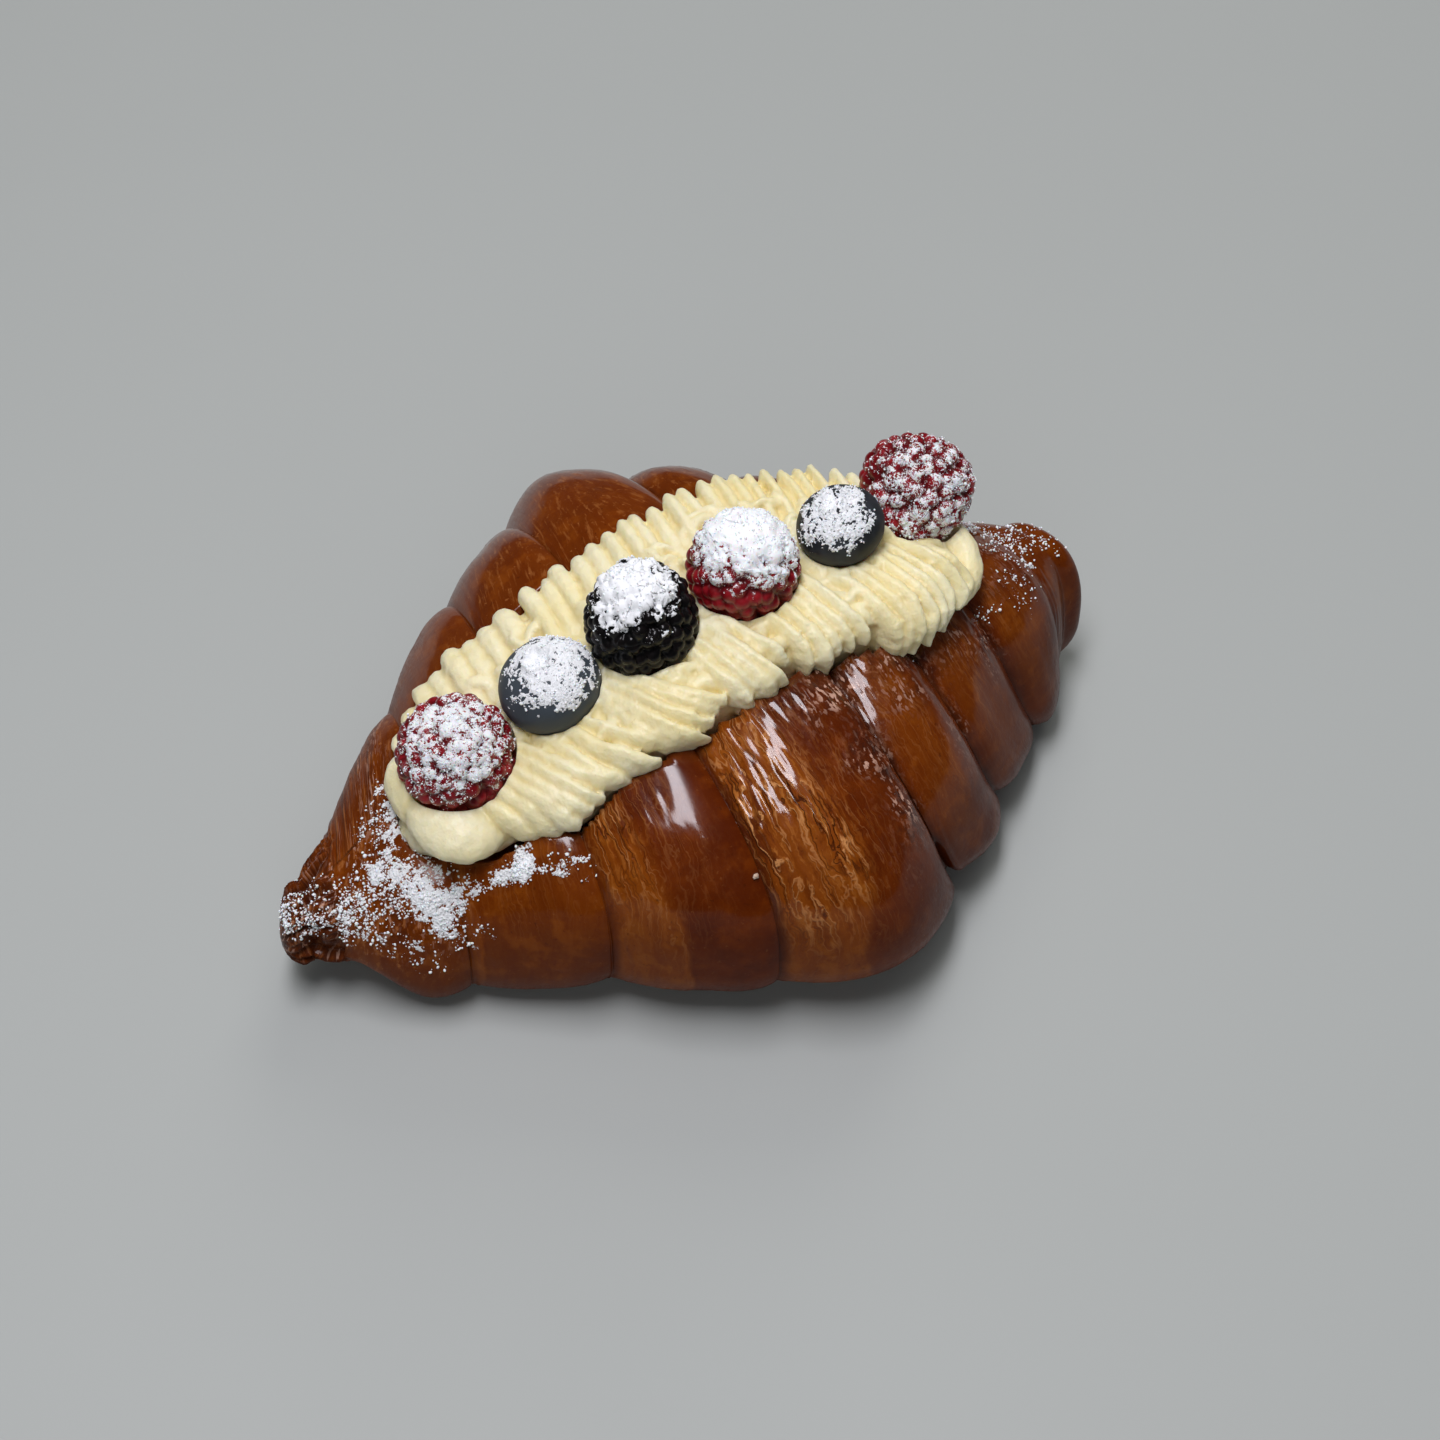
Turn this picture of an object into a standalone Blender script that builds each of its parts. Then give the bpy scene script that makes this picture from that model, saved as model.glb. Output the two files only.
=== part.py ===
"""Filled croissant: a rolled pastry split along its top, a ruffled mound of piped cream in
the split, and a row of six berries pressed into the cream.

The croissant lies along X with its left tip at -X. The near side is -Y and it rests on Z = 0.
Lengths at the top of each section are in millimetres.
"""

import math
from collections import namedtuple

import bmesh
import bpy
from mathutils import Matrix, Vector, noise

MM = 0.001

# Lengths below are measured from a point under the row of berries. This shift moves the origin
# under the middle of the whole object.
ORIGIN_SHIFT = (5.4, 6.7)

# Rolled bands of dough, left tip to right tip: where each starts along X, where its crest reaches
# at the near and at the far side in Y, how high the band stands, how deep the seam at its start
# is against a full one, and how steep its right shoulder is.
Band = namedtuple("Band", "start near far height seam steepness")
BANDS = (
    Band(-84.0, -10.5, -0.5, 20.0, 0.0, 4.5),
    Band(-73.0, -23.8, 17.0, 27.5, 0.3, 4.5),
    Band(-53.8, -35.6, 33.3, 37.0, 0.6, 4.5),
    Band(-34.6, -50.9, 41.9, 45.2, 0.7, 4.5),
    Band(-15.0, -64.8, 51.6, 48.8, 0.85, 4.5),
    Band(10.0, -51.2, 42.0, 48.6, 1.05, 3.0),
    Band(25.0, -38.6, 28.7, 46.3, 1.0, 3.0),
    Band(41.5, -29.5, 14.9, 40.9, 0.8, 3.0),
    Band(57.8, -17.8, 0.5, 33.0, 0.35, 3.0),
)
RIGHT_TIP = 72.5

# The seams spread like a fan: how far they move along X for each millimetre of Y, by X. On the
# right half they also slide toward the right tip on their way down to the foot.
SEAM_SLANT = ((-84, 0.36), (-12, 0), (16, -0.085), (44, -0.175), (58, -0.35), (72.5, -0.42))
SEAM_SLIDE = ((-15, 0), (10, 14), (25, 15.5), (41.5, 13), (60, 0.8))

# A band comes out slowly from under its left neighbour and ends in a steeper shoulder.
SEAM_DEPTH = 3.4
SLOW_SIDE = 2.0

# Roundness is the exponent of the outline of a slice: 2 is an ellipse, more is squarer.
ROUNDNESS_TOP = 2.5
ROUNDNESS_FOOT = 2.7
WIDEST_HEIGHT = 0.36
FOOT_SINK = 2.0
LEFT_TIP_LIFT = 7.5
RIGHT_TIP_LIFT = 3.0
TIP_LIFT_START = 60.0
TIP_BLUNTNESS = 3.0
LUMP_SIZE = 24.0
LUMP_HEIGHT = 1.3

PASTRY_AROUND = 36
RINGS_IN_BAND = 7

# The cream mound: curves along X of its near edge, its far edge, its top and the bottom of
# the slit that it fills.
CREAM_LEFT = -61.0
CREAM_RIGHT = 51.5
CREAM_NEAR = (
    (-62, -22), (-50, -25), (-45, -25.5), (-37, -29.5), (-28, -28.5), (-8, -28.5),
    (12, -27), (26, -29), (36, -26.5), (51, -19),
)
CREAM_FAR = (
    (-62, 2), (-49, 11.5), (-34, 15), (-8, 17),
    (10, 18.5), (22, 15), (34, 10), (44, 3), (51, -6),
)
CREAM_TOP = ((-62, 34), (-50, 39.5), (-32, 46.5), (-14, 52.5), (8, 55), (28, 54.5), (42, 51), (51, 46))
CREAM_BOTTOM = ((-62, 27), (-45, 21), (0, 17), (40, 22), (51, 32))
CREAM_EDGE_DROP = 7.0
CREAM_ROUNDNESS = 2.5
CREAM_END_ROUNDING = 15.0
CREAM_END_ROUNDNESS = 2.2

# How wide the foot of the slit is against its mouth, and how far down it starts to narrow and
# reaches that width, as shares of its depth.
SLIT_WIDTH = 0.5
SLIT_NARROWS = (0.3, 0.9)

# The slit is cut this much wider than the cream all round.
SLIT_GROWTH = 0.6

# Ruffles left by a toothed nozzle moved from side to side. One loop makes a lobe at the edge.
RUFFLE_PITCH = 3.0
RUFFLE_DEPTH = 1.2
LOOP_LENGTH = 19.0
LOOP_DEPTH = 2.2
LOOP_FAN = 1.6
LOOP_START = -37.0

# The loops lean most at the mound's edge and least at its ends: powers of the nearness to each.
FAN_AT_EDGE = 3
FAN_AT_MIDDLE = 4

# The ruffles fade out between these shares of the slit's depth.
RUFFLE_FADES = (0.1, 0.5)

CREAM_AROUND = 22
SLIT_RINGS = 32

# Berries: centre, radius, half length along the axis, how much narrower the tip end is, how far
# the axis leans from upright and toward which heading, and the number of drupelets.
Berry = namedtuple("Berry", "name centre radius height taper lean heading drupelets")
DRUPELET_BERRIES = (
    Berry("raspberry_left", (-49.2, -7.6, 42.0), 10.1, 9.8, 0.10, 35.0, 239.0, 76),
    Berry("bramble_berry", (-13.4, -7.6, 55.2), 9.6, 10.4, 0.08, 20.0, 59.0, 72),
    Berry("raspberry_middle", (6.3, -7.9, 57.4), 9.6, 9.6, 0.06, 12.0, 300.0, 76),
    Berry("raspberry_right", (42.4, -5.4, 53.2), 9.8, 10.2, 0.20, 125.0, 225.0, 76),
)
SMOOTH_BERRIES = (
    Berry("blueberry_left", (-31.0, -7.4, 48.3), 8.7, 7.3, 0.0, 15.0, 149.0, 0),
    Berry("blueberry_right", (25.0, -8.6, 57.4), 7.6, 6.3, 0.0, 15.0, 140.0, 0),
)
DRUPELET_SADDLE = 0.3
DRUPELET_PIT = 0.9
BERRY_CLEARANCE = 0.5
CALYX_RADIUS = 2.6
CALYX_DEPTH = 0.8

# The calyx is full depth inside the first of these shares of its radius and gone by the second.
CALYX_SLOPE = (0.5, 1.2)

# Finish: colour in linear light, and roughness.
CRUST_FINISH = ((0.36, 0.12, 0.03), 0.35)
CREAM_FINISH = ((0.86, 0.75, 0.42), 0.5)
RASPBERRY_FINISH = ((0.42, 0.02, 0.04), 0.45)
BRAMBLE_FINISH = ((0.02, 0.012, 0.02), 0.3)
BLUEBERRY_FINISH = ((0.05, 0.07, 0.13), 0.55)

BLUEBERRY_AROUND = 20
BLUEBERRY_ALONG = 12
HOLLOW_AROUND = 16
HOLLOW_ALONG = 10


def smooth(low, high, value):
    """0 below low, 1 above high, and an S-curve between."""
    t = min(1.0, max(0.0, (value - low) / (high - low)))
    return t * t * (3.0 - 2.0 * t)


def through(points, x):
    """A smooth curve through (x, value) points, flat beyond the first and the last."""
    if x <= points[0][0]:
        return points[0][1]
    if x >= points[-1][0]:
        return points[-1][1]
    i = max(k for k in range(len(points) - 1) if points[k][0] <= x)
    (x0, v0), (x1, v1) = points[i], points[i + 1]

    def slope(k):
        before, after = points[max(0, k - 1)], points[min(len(points) - 1, k + 1)]
        return (after[1] - before[1]) / (after[0] - before[0])

    t = (x - x0) / (x1 - x0)
    rise_start, rise_end = slope(i) * (x1 - x0), slope(i + 1) * (x1 - x0)
    blend = t * t * (3 - 2 * t)
    return v0 + (v1 - v0) * blend + rise_start * t * (1 - t) ** 2 + rise_end * t * t * (t - 1)


def power(value, exponent):
    """value raised to the exponent, keeping its sign."""
    return math.copysign(abs(value) ** exponent, value)


def placed(point):
    """A point measured from under the berries, in metres from the object's origin."""
    return Vector((point[0] + ORIGIN_SHIFT[0], point[1] + ORIGIN_SHIFT[1], point[2])) * MM


BAND_ENDS = [band.start for band in BANDS] + [RIGHT_TIP]


def crest_curve(field):
    """(x, value) at the middle of each band, for one field of BANDS."""
    middles = [(a + b) / 2 for a, b in zip(BAND_ENDS, BAND_ENDS[1:])]
    return [(x, getattr(band, field)) for x, band in zip(middles, BANDS)]


NEAR_CURVE = crest_curve("near")
FAR_CURVE = crest_curve("far")
HEIGHT_CURVE = crest_curve("height")


def pastry_point(x, angle):
    """The pastry's skin at station x. Angle 0 is the far side, 90 degrees the top."""
    number = max(k for k in range(len(BANDS)) if k == 0 or BAND_ENDS[k] <= x)
    across = (x - BAND_ENDS[number]) / (BAND_ENDS[number + 1] - BAND_ENDS[number])
    near, far = through(NEAR_CURVE, x), through(FAR_CURVE, x)
    height = through(HEIGHT_CURVE, x)
    centre, half = (near + far) / 2, (far - near) / 2
    end = smooth(TIP_LIFT_START, RIGHT_TIP, abs(x))
    lift = (LEFT_TIP_LIFT if x < 0 else RIGHT_TIP_LIFT) * end
    middle = lift + (height - lift) * WIDEST_HEIGHT
    side, up = math.cos(angle), math.sin(angle)
    if up > 0:
        roundness, reach_up = ROUNDNESS_TOP, height - middle
    else:
        roundness, reach_up = ROUNDNESS_FOOT, middle - lift + FOOT_SINK * (1 - end)
    y = half * power(side, 2 / roundness)
    z = reach_up * power(up, 2 / roundness)

    # Each band swells between its two seams. The end bands close to a rounded tip.
    if across < 0.5:
        swell = 1 - (1 - 2 * across) ** SLOW_SIDE
    else:
        swell = 1 - (2 * across - 1) ** BANDS[number].steepness
    nearest_seam = min(len(BANDS) - 1, number + (across > 0.5))
    depth = SEAM_DEPTH * BANDS[nearest_seam].seam
    reach = math.hypot(y, z)
    shrink = 1 - depth * (1 - swell) / max(reach, SEAM_DEPTH)
    if number == 0 and across < 0.5 or number == len(BANDS) - 1 and across > 0.5:
        shrink = max(0.0, 1 - abs(2 * across - 1) ** TIP_BLUNTNESS) ** 0.5
    lump = noise.noise(Vector((x, y, z)) / LUMP_SIZE) * LUMP_HEIGHT
    shrink += shrink * lump / max(reach, LUMP_SIZE)
    y *= shrink
    z = max(0.0, middle + z * shrink)
    fan = through(SEAM_SLANT, x) * y
    slide = through(SEAM_SLIDE, x) * max(0.0, 1 - z / height) ** 2
    return Vector((x + fan + slide, centre + y, z))


def ring_station(share):
    """Turns the share of rings passed, 0 to 1, into x, with rings crowded at the seams."""
    along = min(share * len(BANDS), len(BANDS) - 1e-9)
    number = int(along)
    local = 0.5 - 0.5 * math.cos(math.pi * (along - number))
    return BAND_ENDS[number] + local * (BAND_ENDS[number + 1] - BAND_ENDS[number])


def cream_point(x, angle, ruffle, grow):
    """The mound's skin at station x. ruffle is 1 on a ridge and 0 in a groove."""
    near, far = through(CREAM_NEAR, x), through(CREAM_FAR, x)
    top, bottom = through(CREAM_TOP, x), through(CREAM_BOTTOM, x)
    end = min(x - CREAM_LEFT, CREAM_RIGHT - x) / CREAM_END_ROUNDING
    close = (1 - (1 - min(1.0, max(0.0, end))) ** CREAM_END_ROUNDNESS) ** 0.5
    middle, half = (near + far) / 2, (far - near) / 2
    waist = top - CREAM_EDGE_DROP
    side, up = math.cos(angle), math.sin(angle)

    # The two edges bulge in turn, where the strand turns back.
    turn = 2 * math.pi * (x - LOOP_START) / LOOP_LENGTH
    phase = turn if side < 0 else turn + math.pi
    lobe = LOOP_DEPTH * abs(side) * (0.5 - 0.5 * math.cos(phase))
    if up >= 0:
        y = half * power(side, 2 / CREAM_ROUNDNESS)
        z = CREAM_EDGE_DROP * power(up, 2 / CREAM_ROUNDNESS)
        depth = RUFFLE_DEPTH * (1 - ruffle) + lobe
    else:
        narrow = 1 - (1 - SLIT_WIDTH) * smooth(*SLIT_NARROWS, -up)
        y = half * narrow * side
        z = (waist - bottom) * up
        depth = (RUFFLE_DEPTH * (1 - ruffle) + lobe) * (1 - smooth(*RUFFLE_FADES, -up))
    if grow:
        depth = -grow
    reach = max(1.0, math.hypot(y, z))
    scale = close * (1 - depth / reach)
    fan = LOOP_FAN * math.sin(phase) * abs(side) ** FAN_AT_EDGE * close**FAN_AT_MIDDLE
    if grow:
        fan = 0.0
    return Vector((x + fan, middle + y * scale, waist + z * scale))


def reshaped_ball(name, around, along, shape):
    """A UV sphere with its poles along X, each vertex moved to shape(share along, angle)."""
    mesh = bpy.data.meshes.new(name)
    ball = bmesh.new()
    bmesh.ops.create_uvsphere(ball, u_segments=around, v_segments=along, radius=1.0)
    for vertex in ball.verts:
        share = math.acos(max(-1.0, min(1.0, -vertex.co.z))) / math.pi
        angle = math.atan2(vertex.co.y, vertex.co.x)
        vertex.co = placed(shape(share, angle))
    bmesh.ops.recalc_face_normals(ball, faces=ball.faces)
    ball.to_mesh(mesh)
    ball.free()
    return bpy.data.objects.new(name, mesh)


def berry_matrix(berry):
    """Turns a berry's own axes, with its tip along +Z, to its place in the row."""
    lean = Matrix.Rotation(math.radians(berry.lean), 4, "Y")
    heading = Matrix.Rotation(math.radians(berry.heading), 4, "Z")
    return Matrix.Translation(placed(berry.centre)) @ heading @ lean


def berry_object(berry, mesh):
    """The berry's object, from its mesh built in metres around its own centre and axis."""
    placed_berry = bpy.data.objects.new(berry.name, mesh)
    placed_berry.matrix_world = berry_matrix(berry)
    return placed_berry


def drupelet_berry(berry):
    """A berry of many small drupelets: domes on the hull of evenly spread points."""
    hull = bmesh.new()
    for k in range(berry.drupelets):
        up = 1 - (2 * k + 1) / berry.drupelets
        turn = k * math.pi * (3 - math.sqrt(5))
        flat = math.sqrt(1 - up * up)
        hull.verts.new((flat * math.cos(turn), flat * math.sin(turn), up))
    bmesh.ops.convex_hull(hull, input=hull.verts)
    bmesh.ops.recalc_face_normals(hull, faces=hull.faces)
    for elements in (hull.verts, hull.edges, hull.faces):
        elements.index_update()

    # Crests first, then a saddle on every edge and a pit in every face of the hull.
    outs = [(vertex.co.normalized(), 0.0) for vertex in hull.verts]
    crests = len(outs)
    outs += [((e.verts[0].co + e.verts[1].co).normalized(), DRUPELET_SADDLE) for e in hull.edges]
    saddles = len(outs)
    outs += [(face.calc_center_median().normalized(), DRUPELET_PIT) for face in hull.faces]
    triangles = []
    for face in hull.faces:
        pit = saddles + face.index
        for loop in face.loops:
            saddle = crests + loop.edge.index
            triangles.append((loop.vert.index, saddle, pit))
            triangles.append((saddle, loop.link_loop_next.vert.index, pit))
    hull.free()

    points = []
    for out, sunk in outs:
        narrow = (berry.radius - sunk) * (1 - berry.taper * out.z)
        points.append(Vector((out.x * narrow, out.y * narrow, out.z * (berry.height - sunk))) * MM)
    mesh = bpy.data.meshes.new(berry.name)
    mesh.from_pydata(points, [], triangles)
    return berry_object(berry, mesh)


def ball_mesh(name, around, along, shape):
    """A UV sphere with each of its points moved to shape(x, y, z), given in millimetres."""
    ball = bmesh.new()
    bmesh.ops.create_uvsphere(ball, u_segments=around, v_segments=along, radius=1.0)
    for vertex in ball.verts:
        vertex.co = Vector(shape(*vertex.co)) * MM
    mesh = bpy.data.meshes.new(name)
    ball.to_mesh(mesh)
    ball.free()
    return mesh


def smooth_berry(berry):
    """A blueberry: a squat ball with a shallow round calyx at its crown."""

    def shape(x, y, z):
        rim = math.hypot(x, y) * berry.radius / CALYX_RADIUS
        dip = CALYX_DEPTH * (1 - smooth(*CALYX_SLOPE, rim)) if z > 0 else 0.0
        return x * berry.radius, y * berry.radius, z * berry.height - dip

    return berry_object(berry, ball_mesh(berry.name, BLUEBERRY_AROUND, BLUEBERRY_ALONG, shape))


def berry_hollow(berry):
    """The rounded hollow that a berry presses into the cream."""
    radius, height = berry.radius + BERRY_CLEARANCE, berry.height + BERRY_CLEARANCE

    def shape(x, y, z):
        narrow = radius * (1 - berry.taper * z)
        return x * narrow, y * narrow, z * height

    hollow = berry._replace(name=berry.name + "_hollow")
    return berry_object(hollow, ball_mesh(hollow.name, HOLLOW_AROUND, HOLLOW_ALONG, shape))


def add_cutter(target, cutter, collection):
    """Cuts the cutter's shape out of the target."""
    collection.objects.link(cutter)
    cutter.hide_render = True
    cutter.display_type = "WIRE"
    cut = target.modifiers.new(cutter.name, "BOOLEAN")
    cut.operation = "DIFFERENCE"
    cut.solver = "EXACT"
    cut.object = cutter


def finish(piece, colour, roughness):
    """Gives the piece a material of its own and shades it smooth."""
    material = bpy.data.materials.new(piece.name + "_finish")
    material.use_nodes = True
    surface = material.node_tree.nodes["Principled BSDF"]
    surface.inputs["Base Color"].default_value = (*colour, 1.0)
    surface.inputs["Roughness"].default_value = roughness
    surface.inputs["Metallic"].default_value = 0.0
    piece.data.materials.append(material)
    piece.data.shade_smooth()


def make_pastry(cutters):
    """The rolled pastry, with the slit that the cream fills."""

    def skin(share, angle):
        return pastry_point(ring_station(share), angle)

    def slit_wall(share, angle):
        along = 0.5 - 0.5 * math.cos(math.pi * share)
        return cream_point(CREAM_LEFT + along * (CREAM_RIGHT - CREAM_LEFT), angle, 1.0, SLIT_GROWTH)

    pastry = reshaped_ball("croissant", PASTRY_AROUND, RINGS_IN_BAND * len(BANDS), skin)
    add_cutter(pastry, reshaped_ball("slit", CREAM_AROUND, SLIT_RINGS, slit_wall), cutters)
    finish(pastry, *CRUST_FINISH)
    return pastry


def make_cream(cutters):
    """The ruffled cream, with a hollow pressed by each berry."""
    length = CREAM_RIGHT - CREAM_LEFT
    rings = 2 * int(length / RUFFLE_PITCH)

    def skin(share, angle):
        return cream_point(CREAM_LEFT + share * length, angle, round(share * rings) % 2, 0.0)

    cream = reshaped_ball("cream", CREAM_AROUND, rings, skin)
    for berry in DRUPELET_BERRIES + SMOOTH_BERRIES:
        add_cutter(cream, berry_hollow(berry), cutters)
    finish(cream, *CREAM_FINISH)
    return cream


def main():
    for old in list(bpy.data.objects):
        bpy.data.objects.remove(old, do_unlink=True)
    shown = bpy.data.collections.new("cheese_croissant")
    cutters = bpy.data.collections.new("cutters")
    bpy.context.scene.collection.children.link(shown)
    bpy.context.scene.collection.children.link(cutters)

    pieces = [make_pastry(cutters), make_cream(cutters)]
    for berry in DRUPELET_BERRIES:
        pieces.append(drupelet_berry(berry))
        finish(pieces[-1], *(BRAMBLE_FINISH if berry.name == "bramble_berry" else RASPBERRY_FINISH))
    for berry in SMOOTH_BERRIES:
        pieces.append(smooth_berry(berry))
        finish(pieces[-1], *BLUEBERRY_FINISH)
    for piece in pieces:
        shown.objects.link(piece)


main()
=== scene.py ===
import math

import bmesh
import bpy
import numpy as np
from mathutils import Matrix, Vector, noise


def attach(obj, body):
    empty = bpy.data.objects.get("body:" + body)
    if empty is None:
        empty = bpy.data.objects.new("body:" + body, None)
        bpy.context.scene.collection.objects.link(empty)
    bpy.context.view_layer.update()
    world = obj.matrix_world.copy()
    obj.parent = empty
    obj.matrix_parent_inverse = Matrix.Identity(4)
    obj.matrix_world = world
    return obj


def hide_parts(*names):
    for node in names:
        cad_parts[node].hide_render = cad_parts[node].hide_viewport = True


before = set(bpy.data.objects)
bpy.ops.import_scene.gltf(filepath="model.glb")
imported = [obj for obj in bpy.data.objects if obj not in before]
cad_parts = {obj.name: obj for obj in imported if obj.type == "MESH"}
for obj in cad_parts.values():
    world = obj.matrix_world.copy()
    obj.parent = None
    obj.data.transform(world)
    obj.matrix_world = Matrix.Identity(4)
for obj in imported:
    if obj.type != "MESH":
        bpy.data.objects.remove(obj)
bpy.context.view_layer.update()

# The table: a plain pale board. A wide soft lamp hangs overhead and slightly to the near left,
# which draws the long glints on the crust. The others only brighten the shaded sides.

MM = 0.001
TABLE_SIZE = 8.0
TABLE_COLOUR = (0.405, 0.425, 0.405)
ROOM_LIGHT = (0.80, 0.86, 1.0)
ROOM_STRENGTH = 0.04

# Lamps: where each hangs in metres, its width and height, which way its height runs, its power
# and colour, and whether the glaze mirrors it.
LAMPS = (
    ("overhead_lamp", (-0.12, -0.02, 0.95), (0.22, 0.60), (-0.66, -0.75, 0), 6.6, (0.95, 0.93, 1.0), True),
    ("back_lamp", (0.75, 0.75, 0.85), (0.7, 0.7), (0, 0, 1), 4.2, (1.0, 0.98, 0.94), False),
    ("ceiling_fill", (0.1, 0.1, 1.6), (1.6, 1.6), (0, 1, 0), 5.4, (1.0, 1.0, 1.0), False),
    ("near_fill", (-0.55, -0.95, 0.75), (0.9, 0.9), (0, 0, 1), 2.5, (0.95, 0.97, 1.0), False),
)
LAMP_AIM = (0.0, 0.0, 0.03)

# The camera looks down at 51.1 degrees, turned 30.8 degrees to the right of straight ahead.
CAMERA_PLACE = (-171.87, -301.37, 452.07)
CAMERA_TILT = 38.9
CAMERA_TURN = -30.8
CAMERA_LENS = 78.725

scene = bpy.context.scene
scene.view_settings.view_transform = "Standard"
camera_data = bpy.data.cameras.new("camera")
camera_data.lens = CAMERA_LENS
camera_data.sensor_width = 36.0
camera_data.clip_start = 0.01
camera = bpy.data.objects.new("camera", camera_data)
camera.location = Vector(CAMERA_PLACE) * MM
camera.rotation_euler = (math.radians(CAMERA_TILT), 0.0, math.radians(CAMERA_TURN))
scene.collection.objects.link(camera)
scene.camera = camera


def add_node(near, kind, inputs=None, **settings):
    """A shader node in near's tree, with its inputs set to values or linked to sockets."""
    made = near.id_data.nodes.new(kind)
    for name, value in settings.items():
        setattr(made, name, value)
    for name, value in (inputs or {}).items():
        if isinstance(value, bpy.types.NodeSocket):
            near.id_data.links.new(value, made.inputs[name])
        else:
            made.inputs[name].default_value = value
    return made


def spread(value, low, high, out_low=0.0, out_high=1.0, kind="SMOOTHSTEP"):
    """value mapped from low..high to out_low..out_high."""
    inputs = {"Value": value, "From Min": low, "From Max": high, "To Min": out_low, "To Max": out_high}
    return add_node(value, "ShaderNodeMapRange", inputs, interpolation_type=kind).outputs["Result"]


def speckle(place, size, detail=2.0, roughness=0.5):
    """Soft noise with lumps about size millimetres across."""
    inputs = {"Vector": place, "Scale": 0.6 / (size * MM), "Detail": detail, "Roughness": roughness}
    return add_node(place, "ShaderNodeTexNoise", inputs).outputs["Fac"]


def shader_socket(word):
    return word.replace("_", " ").title().replace("Ior", "IOR")


def new_finish(name, **constants):
    """A material and its Principled shader, whose constant inputs are set directly."""
    material = bpy.data.materials.new(name)
    material.use_nodes = True
    surface = material.node_tree.nodes["Principled BSDF"]
    for word, value in constants.items():
        surface.inputs[shader_socket(word)].default_value = value
    return material, surface


def wire(surface, **outputs):
    """Links what varies over the surface to the shader's sockets of those names."""
    for word, output in outputs.items():
        surface.id_data.links.new(output, surface.inputs[shader_socket(word)])


def own_place(near):
    """The piece's own coordinates in metres."""
    return add_node(near, "ShaderNodeTexCoord").outputs["Object"]


def mesh_from(name, points, faces, finish):
    """A linked, smooth-shaded mesh object from points in metres."""
    mesh = bpy.data.meshes.new(name)
    mesh.from_pydata(points, [], faces)
    mesh.materials.append(finish)
    mesh.shade_smooth()
    made = bpy.data.objects.new(name, mesh)
    scene.collection.objects.link(made)
    return made


table_finish, surface = new_finish("table_finish", base_color=(*TABLE_COLOUR, 1.0))
wire(surface, roughness=spread(speckle(own_place(surface), 60.0, 3.0), 0.3, 0.7, 0.55, 0.65))
half = TABLE_SIZE / 2
corners = [(-half, -half, 0), (half, -half, 0), (half, half, 0), (-half, half, 0)]
table = mesh_from("table", corners, [(0, 1, 2, 3)], table_finish)

room = bpy.data.worlds.new("room")
room.use_nodes = True
backdrop = room.node_tree.nodes["Background"]
backdrop.inputs["Color"].default_value = (*ROOM_LIGHT, 1.0)
backdrop.inputs["Strength"].default_value = ROOM_STRENGTH
scene.world = room

for name, spot, size, height_runs, power, colour, mirrored in LAMPS:
    lamp_data = bpy.data.lights.new(name, "AREA")
    lamp_data.shape = "RECTANGLE"
    lamp_data.size, lamp_data.size_y = size
    lamp_data.energy = power
    lamp_data.color = colour
    lamp = bpy.data.objects.new(name, lamp_data)
    back = (Vector(spot) - Vector(LAMP_AIM)).normalized()
    tall = (Vector(height_runs) - back * back.dot(height_runs)).normalized()
    facing = Matrix((tall.cross(back), tall, back)).transposed().to_4x4()
    lamp.matrix_world = Matrix.Translation(spot) @ facing
    lamp.visible_glossy = mirrored
    scene.collection.objects.link(lamp)

# The pastry: a croissant of laminated dough rolled from a long triangle, egg-washed and baked.
# Each turn shows the pale streaky layers of its left part, which rose last, and a smooth dark
# glossy right part that overlaps the next turn.

# Lengths are in millimetres from a point under the row of berries, and this shift brings them
# to the frame's origin.
ORIGIN_SHIFT = (5.4, 6.7)

# Turns of dough: where each starts along X, its crest's reach to the near and the far side, its
# height, how steep its right shoulder is, how much of its width is pale and streaky, and how
# strong the streaks are.
TURNS = np.array((
    (-84.0, -10.5, -0.5, 20.0, 4.5, 0.0, 1.0),
    (-73.0, -23.8, 17.0, 27.5, 4.5, 0.3, 0.5),
    (-53.8, -35.6, 33.3, 37.0, 4.5, 0.12, 0.5),
    (-34.6, -50.9, 41.9, 45.2, 4.5, 0.46, 0.75),
    (-15.0, -64.8, 51.6, 48.8, 4.5, 0.35, 1.0),
    (10.0, -51.2, 42.0, 48.6, 3.0, 0.0, 0.3),
    (25.0, -38.6, 28.7, 46.3, 3.0, 0.0, 0.3),
    (41.5, -29.5, 14.9, 40.9, 3.0, 0.0, 0.3),
    (57.8, -17.8, 0.5, 33.0, 3.0, 0.0, 0.3),
))
RIGHT_TIP = 72.5
# The seams spread like a fan, and on the right half they slide toward the tip on their way down.
SEAM_SLANT = ((-84, 0.36), (-12, 0), (16, -0.085), (44, -0.175), (58, -0.35), (72.5, -0.42))
SEAM_SLIDE = ((-15, 0), (10, 14), (25, 15.5), (41.5, 13), (60, 0.8))
SEAM_DEPTH = 3.4
# How deep each seam is against a full one, from the left tip to the right.
SEAM_SHARES = np.array((0.0, 0.3, 0.6, 0.7, 0.85, 1.05, 1.0, 0.8, 0.35, 0.0))
# How steeply a turn rises out of the seam on its left, and how far its right shoulder hangs over.
SLOW_SIDE = 2.0
SHOULDER_OVERHANG = 0.9
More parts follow.
